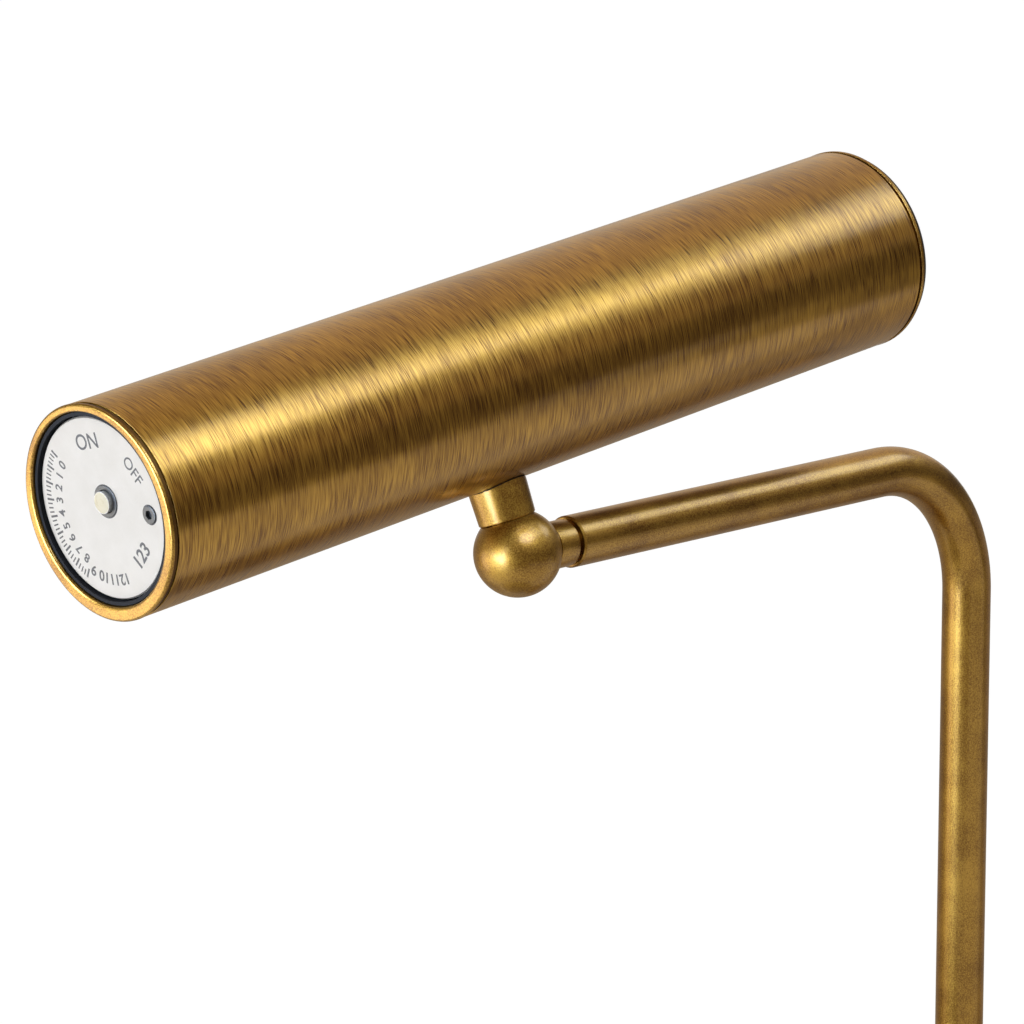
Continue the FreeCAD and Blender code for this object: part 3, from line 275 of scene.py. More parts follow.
IRON = surface("iron_cast_painted_grey", "#26272a", "#34353a", 0.9, 0.45, 0.65, 0.06)
FELT = surface("felt_pressed_wool", "#141614", "#262a26", 0.35, 0.9, 1.0, 0.12,
               **{"Sheen Weight": 0.4, "Sheen Roughness": 0.6})
RUBBER = surface("rubber_moulded_black", "#0b0b0b", "#141414", 0.5, 0.6, 0.8, 0.01,
                 **{"Specular IOR Level": 0.2})
ENAMEL = surface("plate_enamelled_white", "#ecebe8", "#f3f2f0", 7.0, 0.14, 0.22, 0.004,
                 **{"Coat Weight": 0.3, "Coat Roughness": 0.05})
SATIN_NICKEL = surface("nickel_satin_plate", "#4a4946", "#5a5853", 0.8, 0.36, 0.46, 0.003, metallic=1.0)
BAND_NICKEL = surface("nickel_brushed_band", "#a9a49a", "#bab5aa", 0.8, 0.4, 0.5, 0.003, metallic=1.0)
# Dark brass for painted shade in the ring's recess and in the neck's recess beside the ball.
PAINTED_SHADE_BRASS = surface("brass_painted_shade_in_recess", "#4a3214", "#66471e", 0.6, 0.45, 0.6, 0.01, metallic=1.0)
# Near-black brass for a painted dark reflection on the far cap's bevel.
PAINTED_DARK_REFLECTION = surface("brass_painted_dark_reflection", "#20150a", "#32220f", 0.6, 0.5, 0.65, 0.01, metallic=1.0)
NICKEL = surface("nickel_bright_plate", "#a7a5a0", "#c2c0ba", 1.2, 0.12, 0.22, 0.003, metallic=1.0)
CREAM = surface("urea_moulded_cream", "#efe6c2", "#f7f0d4", 2.5, 0.25, 0.34, 0.004)
BLACK_PLASTIC = surface("nylon_moulded_black", "#0b0a0a", "#131211", 0.6, 0.6, 0.75, 0.01,
                        **{"Specular IOR Level": 0.15})
WHITE_PLASTIC = surface("nylon_moulded_white", "#d8d8d4", "#e4e4e0", 0.8, 0.4, 0.55, 0.01)
NATURAL_PLASTIC = surface("nylon_natural", "#d6d0b8", "#e2dcc6", 0.8, 0.4, 0.55, 0.01)
ZINC = surface("steel_zinc_plated", "#8e9299", "#b4b8be", 0.8, 0.28, 0.42, 0.006, metallic=1.0)
ALUMINIUM = surface("aluminium_extruded_mill", "#b4b6b8", "#c8cacc", 1.5, 0.3, 0.42, 0.006, metallic=1.0)
SLEEVE = surface("lead_sleeve_flexible", "#101010", "#1c1c1c", 0.8, 0.45, 0.6, 0.008)
BOARD_GREEN = surface("board_glass_fibre_green", "#0e3b1e", "#16502a", 0.5, 0.3, 0.45, 0.004)
BOARD_WHITE = surface("board_white_mask", "#e2e2de", "#ecece8", 0.5, 0.3, 0.45, 0.004)
PHOSPHOR = surface("emitter_phosphor_resin", "#d9b740", "#e8ca5c", 0.4, 0.2, 0.3, 0.004)
COMPONENT = surface("component_cases_dark", "#15120f", "#241f1a", 0.6, 0.3, 0.5, 0.006)
OPAL = surface("acrylic_opal_satin", "#ece9df", "#f4f2ea", 3.0, 0.32, 0.4, 0.004,
               **{"Subsurface Weight": 0.3, "Subsurface Radius": (0.004, 0.004, 0.0035),
                  "Subsurface Scale": 1.0})
PRINT_AND_SHADOW_INK = surface("ink_grey_print_and_painted_shadow", "#3a3936", "#464441", 0.5, 0.4, 0.5, 0.002)
print(len(bpy.data.materials), "materials")

# %% [markdown]
# ## Turning on a lathe
# Nearly every piece of this lamp is turned, spun or drawn, so it is a closed outline swept round an axis.
# Its corners are points with a rounding radius, as on a drawing, and an arc replaces each. A screw
# modifier could do the sweep, but rings made directly keep the mesh closed where the outline meets the
# axis.

# %% Turned pieces
STEPS = 180  # faces round a turned piece
ARC_STEPS = 6  # faces round one rounded corner
SHARP = math.radians(30)  # an edge that turns by more than this stays crisp


def rounded(outline):
    """(along, radius, rounding) corners of a closed outline as points, with an arc at each rounding."""
    points = []
    for number, (along, radius, rounding) in enumerate(outline):
        corner = Vector((along, radius))
        if rounding == 0:
            points.append(corner)
            continue
        before = (Vector(outline[number - 1][:2]) - corner).normalized()
        after = (Vector(outline[(number + 1) % len(outline)][:2]) - corner).normalized()
        half = before.angle(after) / 2
        centre = corner + (before + after).normalized() * (rounding / math.sin(half))
        first = corner + before * (rounding / math.tan(half)) - centre
        last = corner + after * (rounding / math.tan(half)) - centre
        turn = first.angle_signed(last)
        for step in range(ARC_STEPS + 1):
            angle = -turn * step / ARC_STEPS
            arm = Vector((first.x * math.cos(angle) - first.y * math.sin(angle),
                          first.x * math.sin(angle) + first.y * math.cos(angle)))
            points.append(centre + arm)
    return points


def finish_mesh(name, shape, where, material):
    """Turns a bmesh into an object, smooth except at its crisp edges."""
    bmesh.ops.remove_doubles(shape, verts=shape.verts, dist=0.001 * MM)
    bmesh.ops.recalc_face_normals(shape, faces=shape.faces)
    mesh = bpy.data.meshes.new(name)
    shape.to_mesh(mesh)
    shape.free()
    mesh.shade_smooth()
    mesh.set_sharp_from_angle(angle=SHARP)
    mesh.materials.append(material)
    piece = shown(name, mesh)
    piece.matrix_world = where
    return piece


def skin(shape, rings):
    """Faces between each ring of points and the next. A ring of one point makes a tip."""
    for here, there in rings:
        steps = max(len(here), len(there))
        for step in range(steps):
            after = (step + 1) % steps
            corners = [here[step % len(here)], here[after % len(here)],
                       there[after % len(there)], there[step % len(there)]]
            unique = list(dict.fromkeys(corners))
            if len(unique) > 2:
                shape.faces.new(unique)


def turned(name, outline, where, material, steps=STEPS, shift=None):
    """A closed outline swept round the piece's own X axis. shift gives how far a point moves from there."""
    shape = bmesh.new()
    rings = []
    for along, radius in rounded(outline):
        ring = []
        for step in range(1 if radius < 1e-7 else steps):
            angle = 2 * math.pi * step / steps
            point = Vector((along, radius * math.cos(angle), radius * math.sin(angle)))
            ring.append(shape.verts.new(point + shift(along, radius, angle) if shift else point))
        rings.append(ring)
    skin(shape, zip(rings, rings[1:] + rings[:1]))
    return finish_mesh(name, shape, where, material)


def band(name, start, end, inner, outer, where, material, steps=STEPS, edges=(0, 0)):
    """A plain round band or rod, with its two outer edges rounded."""
    outline = [(start, inner, 0), (start, outer, edges[0]), (end, outer, edges[1]), (end, inner, 0)]
    return turned(name, outline, where, material, steps)


def extruded(name, near, far, where, material):
    """A bar between two equal outlines of points."""
    shape = bmesh.new()
    ends = [[shape.verts.new(point) for point in outline] for outline in (near, far)]
    for end in ends:
        shape.faces.new(end)
    skin(shape, [ends])
    return finish_mesh(name, shape, where, material)


def final_mesh(thing):
    """The mesh of a text or of a piece with modifiers, as it looks in the end."""
    bpy.context.view_layer.update()
    return bpy.data.meshes.new_from_object(thing.evaluated_get(bpy.context.evaluated_depsgraph_get()))


def cut(piece, *tools):
    """Cuts tools out of a piece, as a mill or a drill would, and removes them."""
    for tool in tools:
        modifier = piece.modifiers.new("cut", "BOOLEAN")
        modifier.object = tool
        modifier.operation = "DIFFERENCE"
        modifier.solver = "EXACT"
    blank_mesh, piece.data = piece.data, final_mesh(piece)
    piece.modifiers.clear()
    bpy.data.meshes.remove(blank_mesh)
    piece.data.name = piece.name
    piece.data.set_sharp_from_angle(angle=SHARP)
    for tool in tools:
        bpy.data.objects.remove(tool)
    return piece


def belongs(piece, body, slot, *nodes):
    """The piece rides on a body and stands for CAD nodes, which it hides. slot is not used."""
    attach(piece, body)
    if nodes:
        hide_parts(*nodes)


# %% [markdown]
# ## The shade's tube
# A drawn tube about 60 mm across with a 1 mm wall. A long window with round corners is cut in the side
# that faces away, where the light comes out. The tube is turned first and the window milled through it with
# a boolean, which is also how the real one is made.

# %% Shade tube
WALL = 1.0 * MM
APERTURE_TURN = math.radians(15)  # the window looks this far below the shade's own horizontal
APERTURE_WIDTH = 28 * MM
APERTURE_CORNER = 5 * MM
APERTURE_LAP = 1.5 * MM  # the diffuser reaches this far past the window's ends
LIGHT = SHADE @ Matrix.Rotation(-APERTURE_TURN, 4, "X")

tube_low, tube_high = span("shade_tube", SHADE)
SHADE_R = tube_high.z
diffuser_low, diffuser_high = span("diffuser", LIGHT)


def window_tool():
    """A bar with the window's rounded outline, through the wall on the light's side."""
    outline = []
    low = (diffuser_low.x + APERTURE_LAP, -APERTURE_WIDTH / 2)
    high = (diffuser_high.x - APERTURE_LAP, APERTURE_WIDTH / 2)
    corners = [(high[0], high[1], 0), (low[0], high[1], 90), (low[0], low[1], 180), (high[0], low[1], 270)]
    for x, z, start in corners:
        centre_x = x - math.copysign(APERTURE_CORNER, x - (low[0] + high[0]) / 2)
        centre_z = z - math.copysign(APERTURE_CORNER, z)
        for step in range(ARC_STEPS + 1):
            angle = math.radians(start + 90 * step / ARC_STEPS)
            outline.append((centre_x + APERTURE_CORNER * math.cos(angle),
                            centre_z + APERTURE_CORNER * math.sin(angle)))
    near, far = ([(x, SHADE_R * share, z) for x, z in outline] for share in (0.5, 1.2))
    return extruded("window_tool", near, far, LIGHT, BRUSHED)


def shade_tube():
    tube = band("shade_tube_brushed", tube_low.x, tube_high.x, SHADE_R - WALL, SHADE_R, SHADE, BRUSHED,
                edges=(0.15 * MM, 0.15 * MM))
    return cut(tube, window_tool())


belongs(shade_tube(), "shade", "brass_brushed", "shade_tube")
print("shade tube", round((tube_high.x - tube_low.x) / MM, 1), "mm long")

# %% [markdown]
# ## The rings at the shade's ends
# At the switch end a rolled ring with a round bead holds the plate back; at the far end a turned cap
# with a thin flange closes the tube. Both are polished, not brushed, so their rounded edges carry one
# clean line of light. The ring's recess carries painted shade and the cap's bevel a painted dark
# reflection; each is a thin turned piece of its own, laid on the brass, in a dark brass material.

# %% End ring and far cap
RING_WIDTH = 2.3 * MM
RING_BEAD = 0.95 * MM  # the polished bead; behind it the ring is recessed
RING_RECESS = 0.3 * MM
RING_EDGE = 0.85 * MM
RING_INNER_EDGE = 0.9 * MM
RING_LIP = 2.05 * MM  # the ring's bore inside the tube's
SPIGOT_GAP = 0.05 * MM  # ring and cap slide into the tube with this to spare
SHADE_BAND_DEPTH = 0.2 * MM  # how deep a dark band reaches into the brass below it
BEVEL_SHADE_SKIN = 0.04 * MM  # and how far the bevel's stands out of it
CAP_LAND = 1.2 * MM
CAP_GROOVE = 0.3 * MM  # the land starts this far from the flange's own edge
CAP_FLANGE = 3.2 * MM  # land and bevel together
CAP_BEVEL = 1.2 * MM  # the bevel's depth
BEVEL_INSET = 0.1 * MM  # bright brass between the land and the dark bevel
CAP_DOME = 0.6 * MM
CAP_EDGE = 0.2 * MM
CAP_FLOOR = 2 * MM
SPIGOT_WALL = 1.4 * MM
SPIGOT_R = SHADE_R - WALL - SPIGOT_GAP


def across(node):
    """Middle and radius of a round CAD node that lies along the shade's axis."""
    low, high = span(node, SHADE)
    return Vector((0, (low.y + high.y) / 2, (low.z + high.z) / 2)), (high.z - low.z) / 2


def end_ring():
    """The bead is turned about the shade's axis, and its bore about the plate's, a little higher."""
    low, high = span("end_ring", SHADE)
    bead = low.x + RING_BEAD
    bore = SHADE_R - WALL - RING_LIP
    bore_middle = across("end_plate")[0]
    recess_r = high.z - RING_RECESS - SHADE_BAND_DEPTH
    outline = [(low.x, bore, RING_INNER_EDGE), (low.x, high.z, RING_EDGE), (bead, high.z, 0.05 * MM),
               (bead, recess_r, 0), (low.x + RING_WIDTH, recess_r, 0),
               (low.x + RING_WIDTH, SPIGOT_R, 0), (high.x, SPIGOT_R, 0.2 * MM), (high.x, bore, 0)]

    def about_bore(along, radius, angle):
        return bore_middle * max(0, min(1, (SPIGOT_R - radius) / (SPIGOT_R - bore)))
    return turned("end_ring_rolled", outline, SHADE, SATIN, shift=about_bore)


def ring_recess():
    """A band of painted shade in the ring's recess, between its bead and the tube."""
    low, high = span("end_ring", SHADE)
    radius = high.z - RING_RECESS
    return band("end_ring_recess", low.x + RING_BEAD, low.x + RING_WIDTH, radius - SHADE_BAND_DEPTH, radius,
                SHADE, PAINTED_SHADE_BRASS, edges=(0, 0.15 * MM))


def far_cap():
    low, high = span("far_cap", SHADE)
    flange_end = high.x - CAP_DOME
    flange_start = flange_end - CAP_FLANGE + CAP_GROOVE
    floor_x = flange_end - CAP_FLOOR
    dome_edge = high.z - CAP_BEVEL
    outline = [(high.x, 0, 0)]
    for step in range(1, 2 * ARC_STEPS + 1):
        share = step / (2 * ARC_STEPS)
        outline.append((high.x - CAP_DOME * share ** 2, dome_edge * share, 0))
    outline += [(flange_end - CAP_FLANGE + CAP_LAND, high.z, CAP_EDGE), (flange_start, high.z, CAP_EDGE),
                (flange_start, SPIGOT_R, 0), (low.x, SPIGOT_R, 0.2 * MM), (low.x, SPIGOT_R - SPIGOT_WALL, 0),
                (floor_x, SPIGOT_R - SPIGOT_WALL, 0), (floor_x, 0, 0)]
    return turned("far_cap_turned", outline, SHADE, SATIN)


def cap_bevel():
    """Painted dark reflection on the far cap's bevel, as a thin band laid over the brass."""
    high = span("far_cap", SHADE)[1]
    slope = CAP_BEVEL / (CAP_FLANGE - CAP_LAND)
    land_end = high.x - CAP_DOME - CAP_FLANGE + CAP_LAND
    start = land_end + BEVEL_INSET
    end = high.x - CAP_DOME - 2 * BEVEL_INSET
    outline = [(x, high.z - (x - land_end) * slope + BEVEL_SHADE_SKIN, 0) for x in (start, end)]
    outline += [(end, high.z - 2 * CAP_BEVEL, 0), (start, high.z - 2 * CAP_BEVEL, 0)]
    return turned("far_cap_bevel", outline, SHADE, PAINTED_DARK_REFLECTION)


belongs(end_ring(), "shade", "brass_satin", "end_ring")
belongs(ring_recess(), "shade", "brass_satin")
belongs(far_cap(), "shade", "brass_satin", "far_cap")
belongs(cap_bevel(), "shade", "brass_satin")
print("end ring", round(RING_WIDTH / MM, 2), "mm and far cap", round(CAP_FLANGE / MM, 2), "mm wide")

# %% [markdown]
# ## The switch end
# A white enamelled plate closes the tube behind the ring. Near its middle a nickel-plated bezel guides a
# cream push button with a plated band, and one socket screw holds the plate. The plate is turned with a
# fine bevel, and the places for the bezel and the screw are cut out of it.

# %% Plate, bezel, button and screw
PLATE_BEVEL = 0.4 * MM
BEZEL_BORE = 3.2 * MM
BEZEL_BODY_R = 4.1 * MM
BUTTON_R = 3.0 * MM
BUTTON_DOME = 0.3 * MM
BUTTON_FLANGE = 1.0 * MM
BUTTON_FLANGE_R = 3.5 * MM
BUTTON_FLANGE_PLACE = 2.1 * MM  # from the bezel's inner end
BUTTON_TAIL_R = 1.4 * MM
BAND_SKIN = 0.06 * MM
BAND_DEPTH = 0.2 * MM
SCREW_HEAD = 1.6 * MM
SCREW_R = 1.5 * MM
SCREW_CLEARANCE = 0.12 * MM
SOCKET_FLATS = 2.4 * MM
SOCKET_DEPTH = 1.1 * MM


def pin(radius, start, end, where, steps=64):
    """A plain round tool along the X axis of a matrix."""
    return band("tool", start, end, 0, radius, where, NICKEL, steps)


def socket_screw(name, head_r, head_h, length, shank_r, where):
    """A cap screw whose head starts at the matrix's origin, with a hexagonal socket."""
    outline = [(0, 0, 0), (0, head_r, 0.25 * MM), (head_h, head_r, 0), (head_h, shank_r, 0),
               (head_h + length, shank_r, 0.3 * MM), (head_h + length, 0, 0)]
    screw = turned(name, outline, where, SATIN_NICKEL, 64)
    hexagon = pin(SOCKET_FLATS / math.sqrt(3), -MM, SOCKET_DEPTH, where, 6)
    return cut(screw, hexagon)


plate_low, plate_high = span("end_plate", SHADE)
PLATE_X = plate_low.x
bezel_low, bezel_high = span("button_bezel", SHADE)
cap_low, cap_high = span("button_cap", SHADE)
screw_low, screw_high = span("plate_screw", SHADE)
plate_middle, plate_r = across("end_plate")
bezel_middle, bezel_lip_r = across("button_bezel")
screw_middle, screw_head_r = across("plate_screw")
PLATE = SHADE @ Matrix.Translation(plate_middle)
BUTTON = SHADE @ Matrix.Translation(bezel_middle)
SCREW_PLACE = SHADE @ Matrix.Translation(screw_middle + Vector((screw_low.x, 0, 0)))
SCREW_FACE = SHADE @ Matrix.Translation(screw_middle)


def end_plate():
    outline = [(PLATE_X, 0, 0), (PLATE_X, plate_r - PLATE_BEVEL, 0), (PLATE_X + PLATE_BEVEL, plate_r, 0),
               (plate_high.x, plate_r, 0), (plate_high.x, 0, 0)]
    plate = turned("end_plate_white", outline, PLATE, ENAMEL)
    bezel_hole = pin(BEZEL_BODY_R + 0.05 * MM, PLATE_X - MM, plate_high.x + MM, BUTTON)
    screw_hole = pin(screw_head_r + SCREW_CLEARANCE, -MM, 3 * MM, SCREW_PLACE)
    return cut(plate, bezel_hole, screw_hole)


def button_bezel():
    outline = [(bezel_low.x, BEZEL_BORE, 0.2 * MM), (bezel_low.x, bezel_lip_r, 0.15 * MM),
               (PLATE_X, bezel_lip_r, 0), (PLATE_X, BEZEL_BODY_R, 0), (bezel_high.x, BEZEL_BODY_R, 0),
               (bezel_high.x, BEZEL_BORE, 0)]
    return turned("button_bezel_nickel", outline, BUTTON, SATIN_NICKEL, 96)


def button_cap():
    outline = [(cap_low.x, 0, 0)]
    for step in range(1, 8):
        share = step / 8
        outline.append((cap_low.x + BUTTON_DOME * share ** 2, BUTTON_R * share, 0))
    flange = bezel_high.x - BUTTON_FLANGE_PLACE
    outline += [(cap_low.x + BUTTON_DOME, BUTTON_R, 0.15 * MM), (flange, BUTTON_R, 0),
                (flange, BUTTON_FLANGE_R, 0), (flange + BUTTON_FLANGE, BUTTON_FLANGE_R, 0),
                (flange + BUTTON_FLANGE, BUTTON_TAIL_R, 0), (cap_high.x, BUTTON_TAIL_R, 0),
                (cap_high.x, 0, 0)]
    return turned("button_cream", outline, BUTTON, CREAM, 96)


def button_band():
    """A plated band round the button's side."""
    return band("button_band_nickel", cap_low.x + BUTTON_DOME, PLATE_X + MM, BUTTON_R - BAND_DEPTH,
                BUTTON_R + BAND_SKIN, BUTTON, BAND_NICKEL, 96)


belongs(end_plate(), "shade", "plate_white", "end_plate")
belongs(button_bezel(), "shade", "nickel_bright", "button_bezel")
belongs(button_cap(), "button", "button_cream", "button_cap")
belongs(button_band(), "button", "nickel_bright")
belongs(socket_screw("plate_screw_socket", screw_head_r, SCREW_HEAD,
                     screw_high.x - screw_low.x - SCREW_HEAD, SCREW_R, SCREW_PLACE),
        "shade", "nickel_bright", "plate_screw")
print("plate", round(2 * plate_r / MM, 1), "mm and button", round(2 * BUTTON_R / MM, 1), "mm across")

# %% [markdown]
# ## Printed marks and painted shadow rings on the plate
# Such a plate carries a plain printed legend: here ON and OFF, three steps, and a numbered scale of fine
# ticks near its edge, in grey ink. Letters are Blender's own text, made very thin and turned to a mesh, so
# that they are crisp shapes; ticks are flat boxes set round a circle. Thin dark rings round the bezel and
# the screw are painted shadow of the gaps there, in the ink's material. Radii and letter heights are in
# millimetres, angles in degrees from the plate's right.

# %% Places on the plate
INK = 0.02 * MM
CAPITAL = 0.7  # height of a capital letter, as a share of the text's size


def on_plate(right_mm, up_mm, turn_degrees):
    """The matrix of a mark on the plate's face, as someone who looks at the face would place it."""
    origin = PLATE @ Vector((PLATE_X - INK / 2, -right_mm * MM, up_mm * MM))
    toward = -SHADE_AXIS
    up = Matrix.Rotation(math.radians(turn_degrees), 4, toward) @ STEM_AXIS
    side = up.cross(toward)
    return Matrix.Translation(origin) @ Matrix((side, up, toward)).transposed().to_4x4()


def word(name, text, height_mm, where, weight):
    """One printed word or number, centred on its place."""
    curve = bpy.data.curves.new(name, "FONT")
    curve.body = text
    curve.size = height_mm * MM / CAPITAL
    curve.align_x = "CENTER"
    curve.align_y = "CENTER"
    curve.extrude = INK
    curve.offset = weight * MM
    letter = shown(name, curve)
    mesh = final_mesh(letter)
    bpy.data.objects.remove(letter)
    mesh.materials.clear()
    mesh.materials.append(PRINT_AND_SHADOW_INK)
    mark = shown(name, mesh)
    mark.matrix_world = where
    return mark


def tick(shape, angle_degrees, start_mm, end_mm, width_mm):
    """One tick of the scale, from one radius to another, added to a bmesh in the plate's own frame."""
    turn = Matrix.Rotation(math.radians(angle_degrees), 4, "Z")
    size = Matrix.Diagonal(((end_mm - start_mm) * MM, width_mm * MM, 2 * INK, 1))
    middle = Matrix.Translation(((start_mm + end_mm) / 2 * MM, 0, 0))
    bmesh.ops.create_cube(shape, size=1, matrix=turn @ middle @ size)


def round_plate(radius_mm, angle_degrees):
    """The matrix of a mark that stands on a circle of the plate, its foot towards the middle."""
    angle = math.radians(angle_degrees)
    return on_plate(radius_mm * math.cos(angle), radius_mm * math.sin(angle), angle_degrees - 90)


# %% Legend
TICKS = 33
TICK_START, TICK_STEP = 128, 3.1
TICK_OUTER, TICK_SHORT, TICK_LONG = 23.4, 21.5, 20.6
SHADOW_RING_WIDTH = 0.25 * MM
NUMBERS = 13
SECOND_CIRCLE = 9  # from this number on, the figures stand on the second circle
NUMBER_CIRCLES = ((18.0, 130, 11.5, 2.7), (19.8, 120, 12.5, 3.0))  # radius, start, step, height


def legend():
    marks = [word("legend_on", "ON", 4.3, on_plate(2.0, 18.2, -4), 0.04),
             word("legend_off", "OFF", 3.4, round_plate(19.2, 24), 0.02),
             word("legend_steps", "123", 4.0, on_plate(10.4, -14.9, 33), 0.1)]
    scale = bmesh.new()
    for number in range(TICKS):
        start, width = (TICK_LONG, 0.6) if number % 4 == 0 else (TICK_SHORT, 0.4)
        tick(scale, TICK_START + number * TICK_STEP, start, TICK_OUTER, width)
    marks.append(finish_mesh("legend_ticks", scale, on_plate(0, 0, 0), PRINT_AND_SHADOW_INK))
    # The two rings round the bezel and the screw are painted shadow of the gaps round them, not print.
    for name, radius, where in (("bezel", bezel_lip_r, BUTTON), ("screw", screw_head_r, SCREW_FACE)):
        marks.append(band("painted_shadow_ring_" + name, PLATE_X - INK, PLATE_X + INK, radius, radius + SHADOW_RING_WIDTH,
                          where, PRINT_AND_SHADOW_INK, 64))
    for number in range(NUMBERS):
        radius, start, step, height = NUMBER_CIRCLES[number >= SECOND_CIRCLE]
        marks.append(word("legend_number_%02d" % number, str(number), height,
                          round_plate(radius, start + number * step), 0.08))
    return marks


marks = legend()
for mark in marks:
    belongs(mark, "shade", "plastic_black")
print(len(marks), "printed marks")

# %% [markdown]
# ## Stem, ball and neck
# The stem is a short turned bar with a slight taper, hollowed below to sit over the ball. Its top is cut
# to a saddle that follows the shade's tube, with a thin dark line between them. The ball is hollow, with
# a short slot under the stem that lets it tilt. The neck turns in the arm's end, and the painted shade
# in the recess beside the ball is a thin dark ring of its own.

# %% Ball swivel
BALL_R = 12.7 * MM
BALL_WALL = 2.0 * MM
SEAT_GAP = 0.25 * MM  # the stem's hollow foot to the ball
NECK_SEAT_GAP = 0.3 * MM  # the neck's collar to the ball
SLOT_R = 4.25 * MM
SLOT_CUTS = 15  # the slot is drilled this many times over the stem's tilt
STEM_FOOT_R = 8.35 * MM
STEM_BORE = 4.05 * MM
STEM_EDGE = 0.3 * MM
SADDLE_GAP = 0.3 * MM  # the dark line between stem and tube
NECK_LINE = 0.5 * MM  # and between ball and neck
NECK_LINE_DEPTH = 0.35 * MM
NECK_GROOVE = 1.2 * MM
NECK_BODY_R = 5 * MM  # the neck's end inside the ball
NECK_HOLE_GAP = 0.05 * MM
NECK_BORE = 2.1 * MM
SPIGOT_TURN_R = 4 * MM  # the neck's spigot in the arm


def seat_height(radius, sphere_r):
    """How far above the ball's centre a hollow seat is, at a radius from the stem's axis."""
    return math.sqrt(sphere_r ** 2 - radius ** 2)


def stem():
    low, high = span("stem", STEM)
    foot_r = STEM_FOOT_R - STEM_EDGE
    outline = [(SHADE_OFFSET, STEM_BORE, 0), (SHADE_OFFSET, high.z, 0), (high.x, high.z, 0),
               (low.x + STEM_EDGE, STEM_FOOT_R, 0.1 * MM), (low.x, foot_r, 0)]
    for step in range(1, 9):
        radius = foot_r + (STEM_BORE - foot_r) * step / 8
        outline.append((seat_height(radius, BALL_R + SEAT_GAP), radius, 0))
    saddle = pin(SHADE_R + SADDLE_GAP, -SHADE_R, SHADE_R, SHADE, 2 * STEPS)
    return cut(turned("stem_turned", outline, STEM, SOFT_SATIN), saddle)


def ball():
    """Hollow ball, with the holes for the neck's thread and the slot that the stem's nipple rides in."""
    outline = []
    for step in range(73):
        angle = math.pi * step / 72
        outline.append((BALL_R * math.cos(angle), max(BALL_R * math.sin(angle), 0), 0))
    share = 1 - BALL_WALL / BALL_R
    shell = turned("ball_polished", outline, STEM, SOFT_SATIN, 144)
    hollow = turned("tool", [(x * share, y * share, 0) for x, y, _ in outline], STEM, SATIN, 96)
    tilt_axis = Vector(joints["stem_tilt"]["axis"]).normalized()
    tools = [hollow, pin(NECK_BODY_R + NECK_HOLE_GAP, 0, 20 * MM, NECK)]
    low, high = joints["stem_tilt"]["range_deg"]
    for step in range(SLOT_CUTS + 1):
        lean = math.radians(low + (high - low) * step / SLOT_CUTS)
        along = Matrix.Rotation(lean, 3, tilt_axis) @ STEM_AXIS
        tools.append(pin(SLOT_R, 5 * MM, 20 * MM, place(BALL_CENTRE, along, SHADE_AXIS), 48))
    return cut(shell, *tools)


def neck():
    low, high = span("neck", NECK)
    radius = high.z
    shoulder = span("post_arm_tube", NECK)[0].x - NECK_GROOVE
    sphere_r = BALL_R + NECK_SEAT_GAP
    seat_r = radius - NECK_LINE_DEPTH - 0.05 * MM
    outline = [(low.x, NECK_BORE, 0), (low.x, NECK_BODY_R, 0)]
    for step in range(6):
        ring_r = NECK_BODY_R + (seat_r - NECK_BODY_R) * step / 5
        outline.append((seat_height(ring_r, sphere_r), ring_r, 0))
    seat = seat_height(radius, sphere_r)
    outline += [(seat, radius - NECK_LINE_DEPTH, 0), (seat + NECK_LINE, radius - NECK_LINE_DEPTH, 0),
                (seat + NECK_LINE, radius, 0.1 * MM), (shoulder, radius, 0.45 * MM),
                (shoulder, SPIGOT_TURN_R, 0), (high.x, SPIGOT_TURN_R, 0), (high.x, NECK_BORE, 0)]
    return turned("neck_turned", outline, NECK, SATIN, 128)


def neck_line():
    """A thin ring of painted shade in the neck's recess beside the ball."""
    radius = span("neck", NECK)[1].z - 0.3 * MM
    start = seat_height(radius, BALL_R + NECK_SEAT_GAP)
    return band("neck_recess", start, start + NECK_LINE, radius - SHADE_BAND_DEPTH, radius, NECK, PAINTED_SHADE_BRASS, 96)


belongs(stem(), "shade", "brass_satin", "stem")
belongs(ball(), "ball", "brass_satin", "ball_shell")
belongs(neck(), "ball", "brass_satin", "neck")
belongs(neck_line(), "ball", "brass_satin")
print("ball", round(2 * BALL_R / MM, 1), "mm, tilt", joints["stem_tilt"]["range_deg"], "degrees")

# %% [markdown]
# ## Post and arm
# One 15 mm tube, bent once on a former: a circle carried along a straight line, a quarter turn and a
# straight line. A curve with a bevel would do too, but the tube has a real wall and a chamfered open end,
# so its rings are made directly: outside out, inside back.

# %% Bent tube
BEND_R = 44 * MM  # of the centre line
TUBE_WALL = 1.0 * MM
END_CHAMFER = 0.5 * MM
BEND_STEPS = 48
TUBE_STEPS = 96


def centre_line(low, arm_end, height):
    """Points of the tube's centre line with the direction of travel at each."""
    points = [(Vector((0, 0, low)), UP)]
    for step in range(BEND_STEPS + 1):
        angle = math.pi / 2 * step / BEND_STEPS
        centre = Vector((-BEND_R, 0, height - BEND_R))
        points.append((centre + Vector((math.cos(angle), 0, math.sin(angle))) * BEND_R,
                       Vector((-math.sin(angle), 0, math.cos(angle)))))
    points.append((Vector((arm_end + END_CHAMFER, 0, height)), -ARM_AXIS))
    points.append((Vector((arm_end, 0, height)), -ARM_AXIS))
    return points


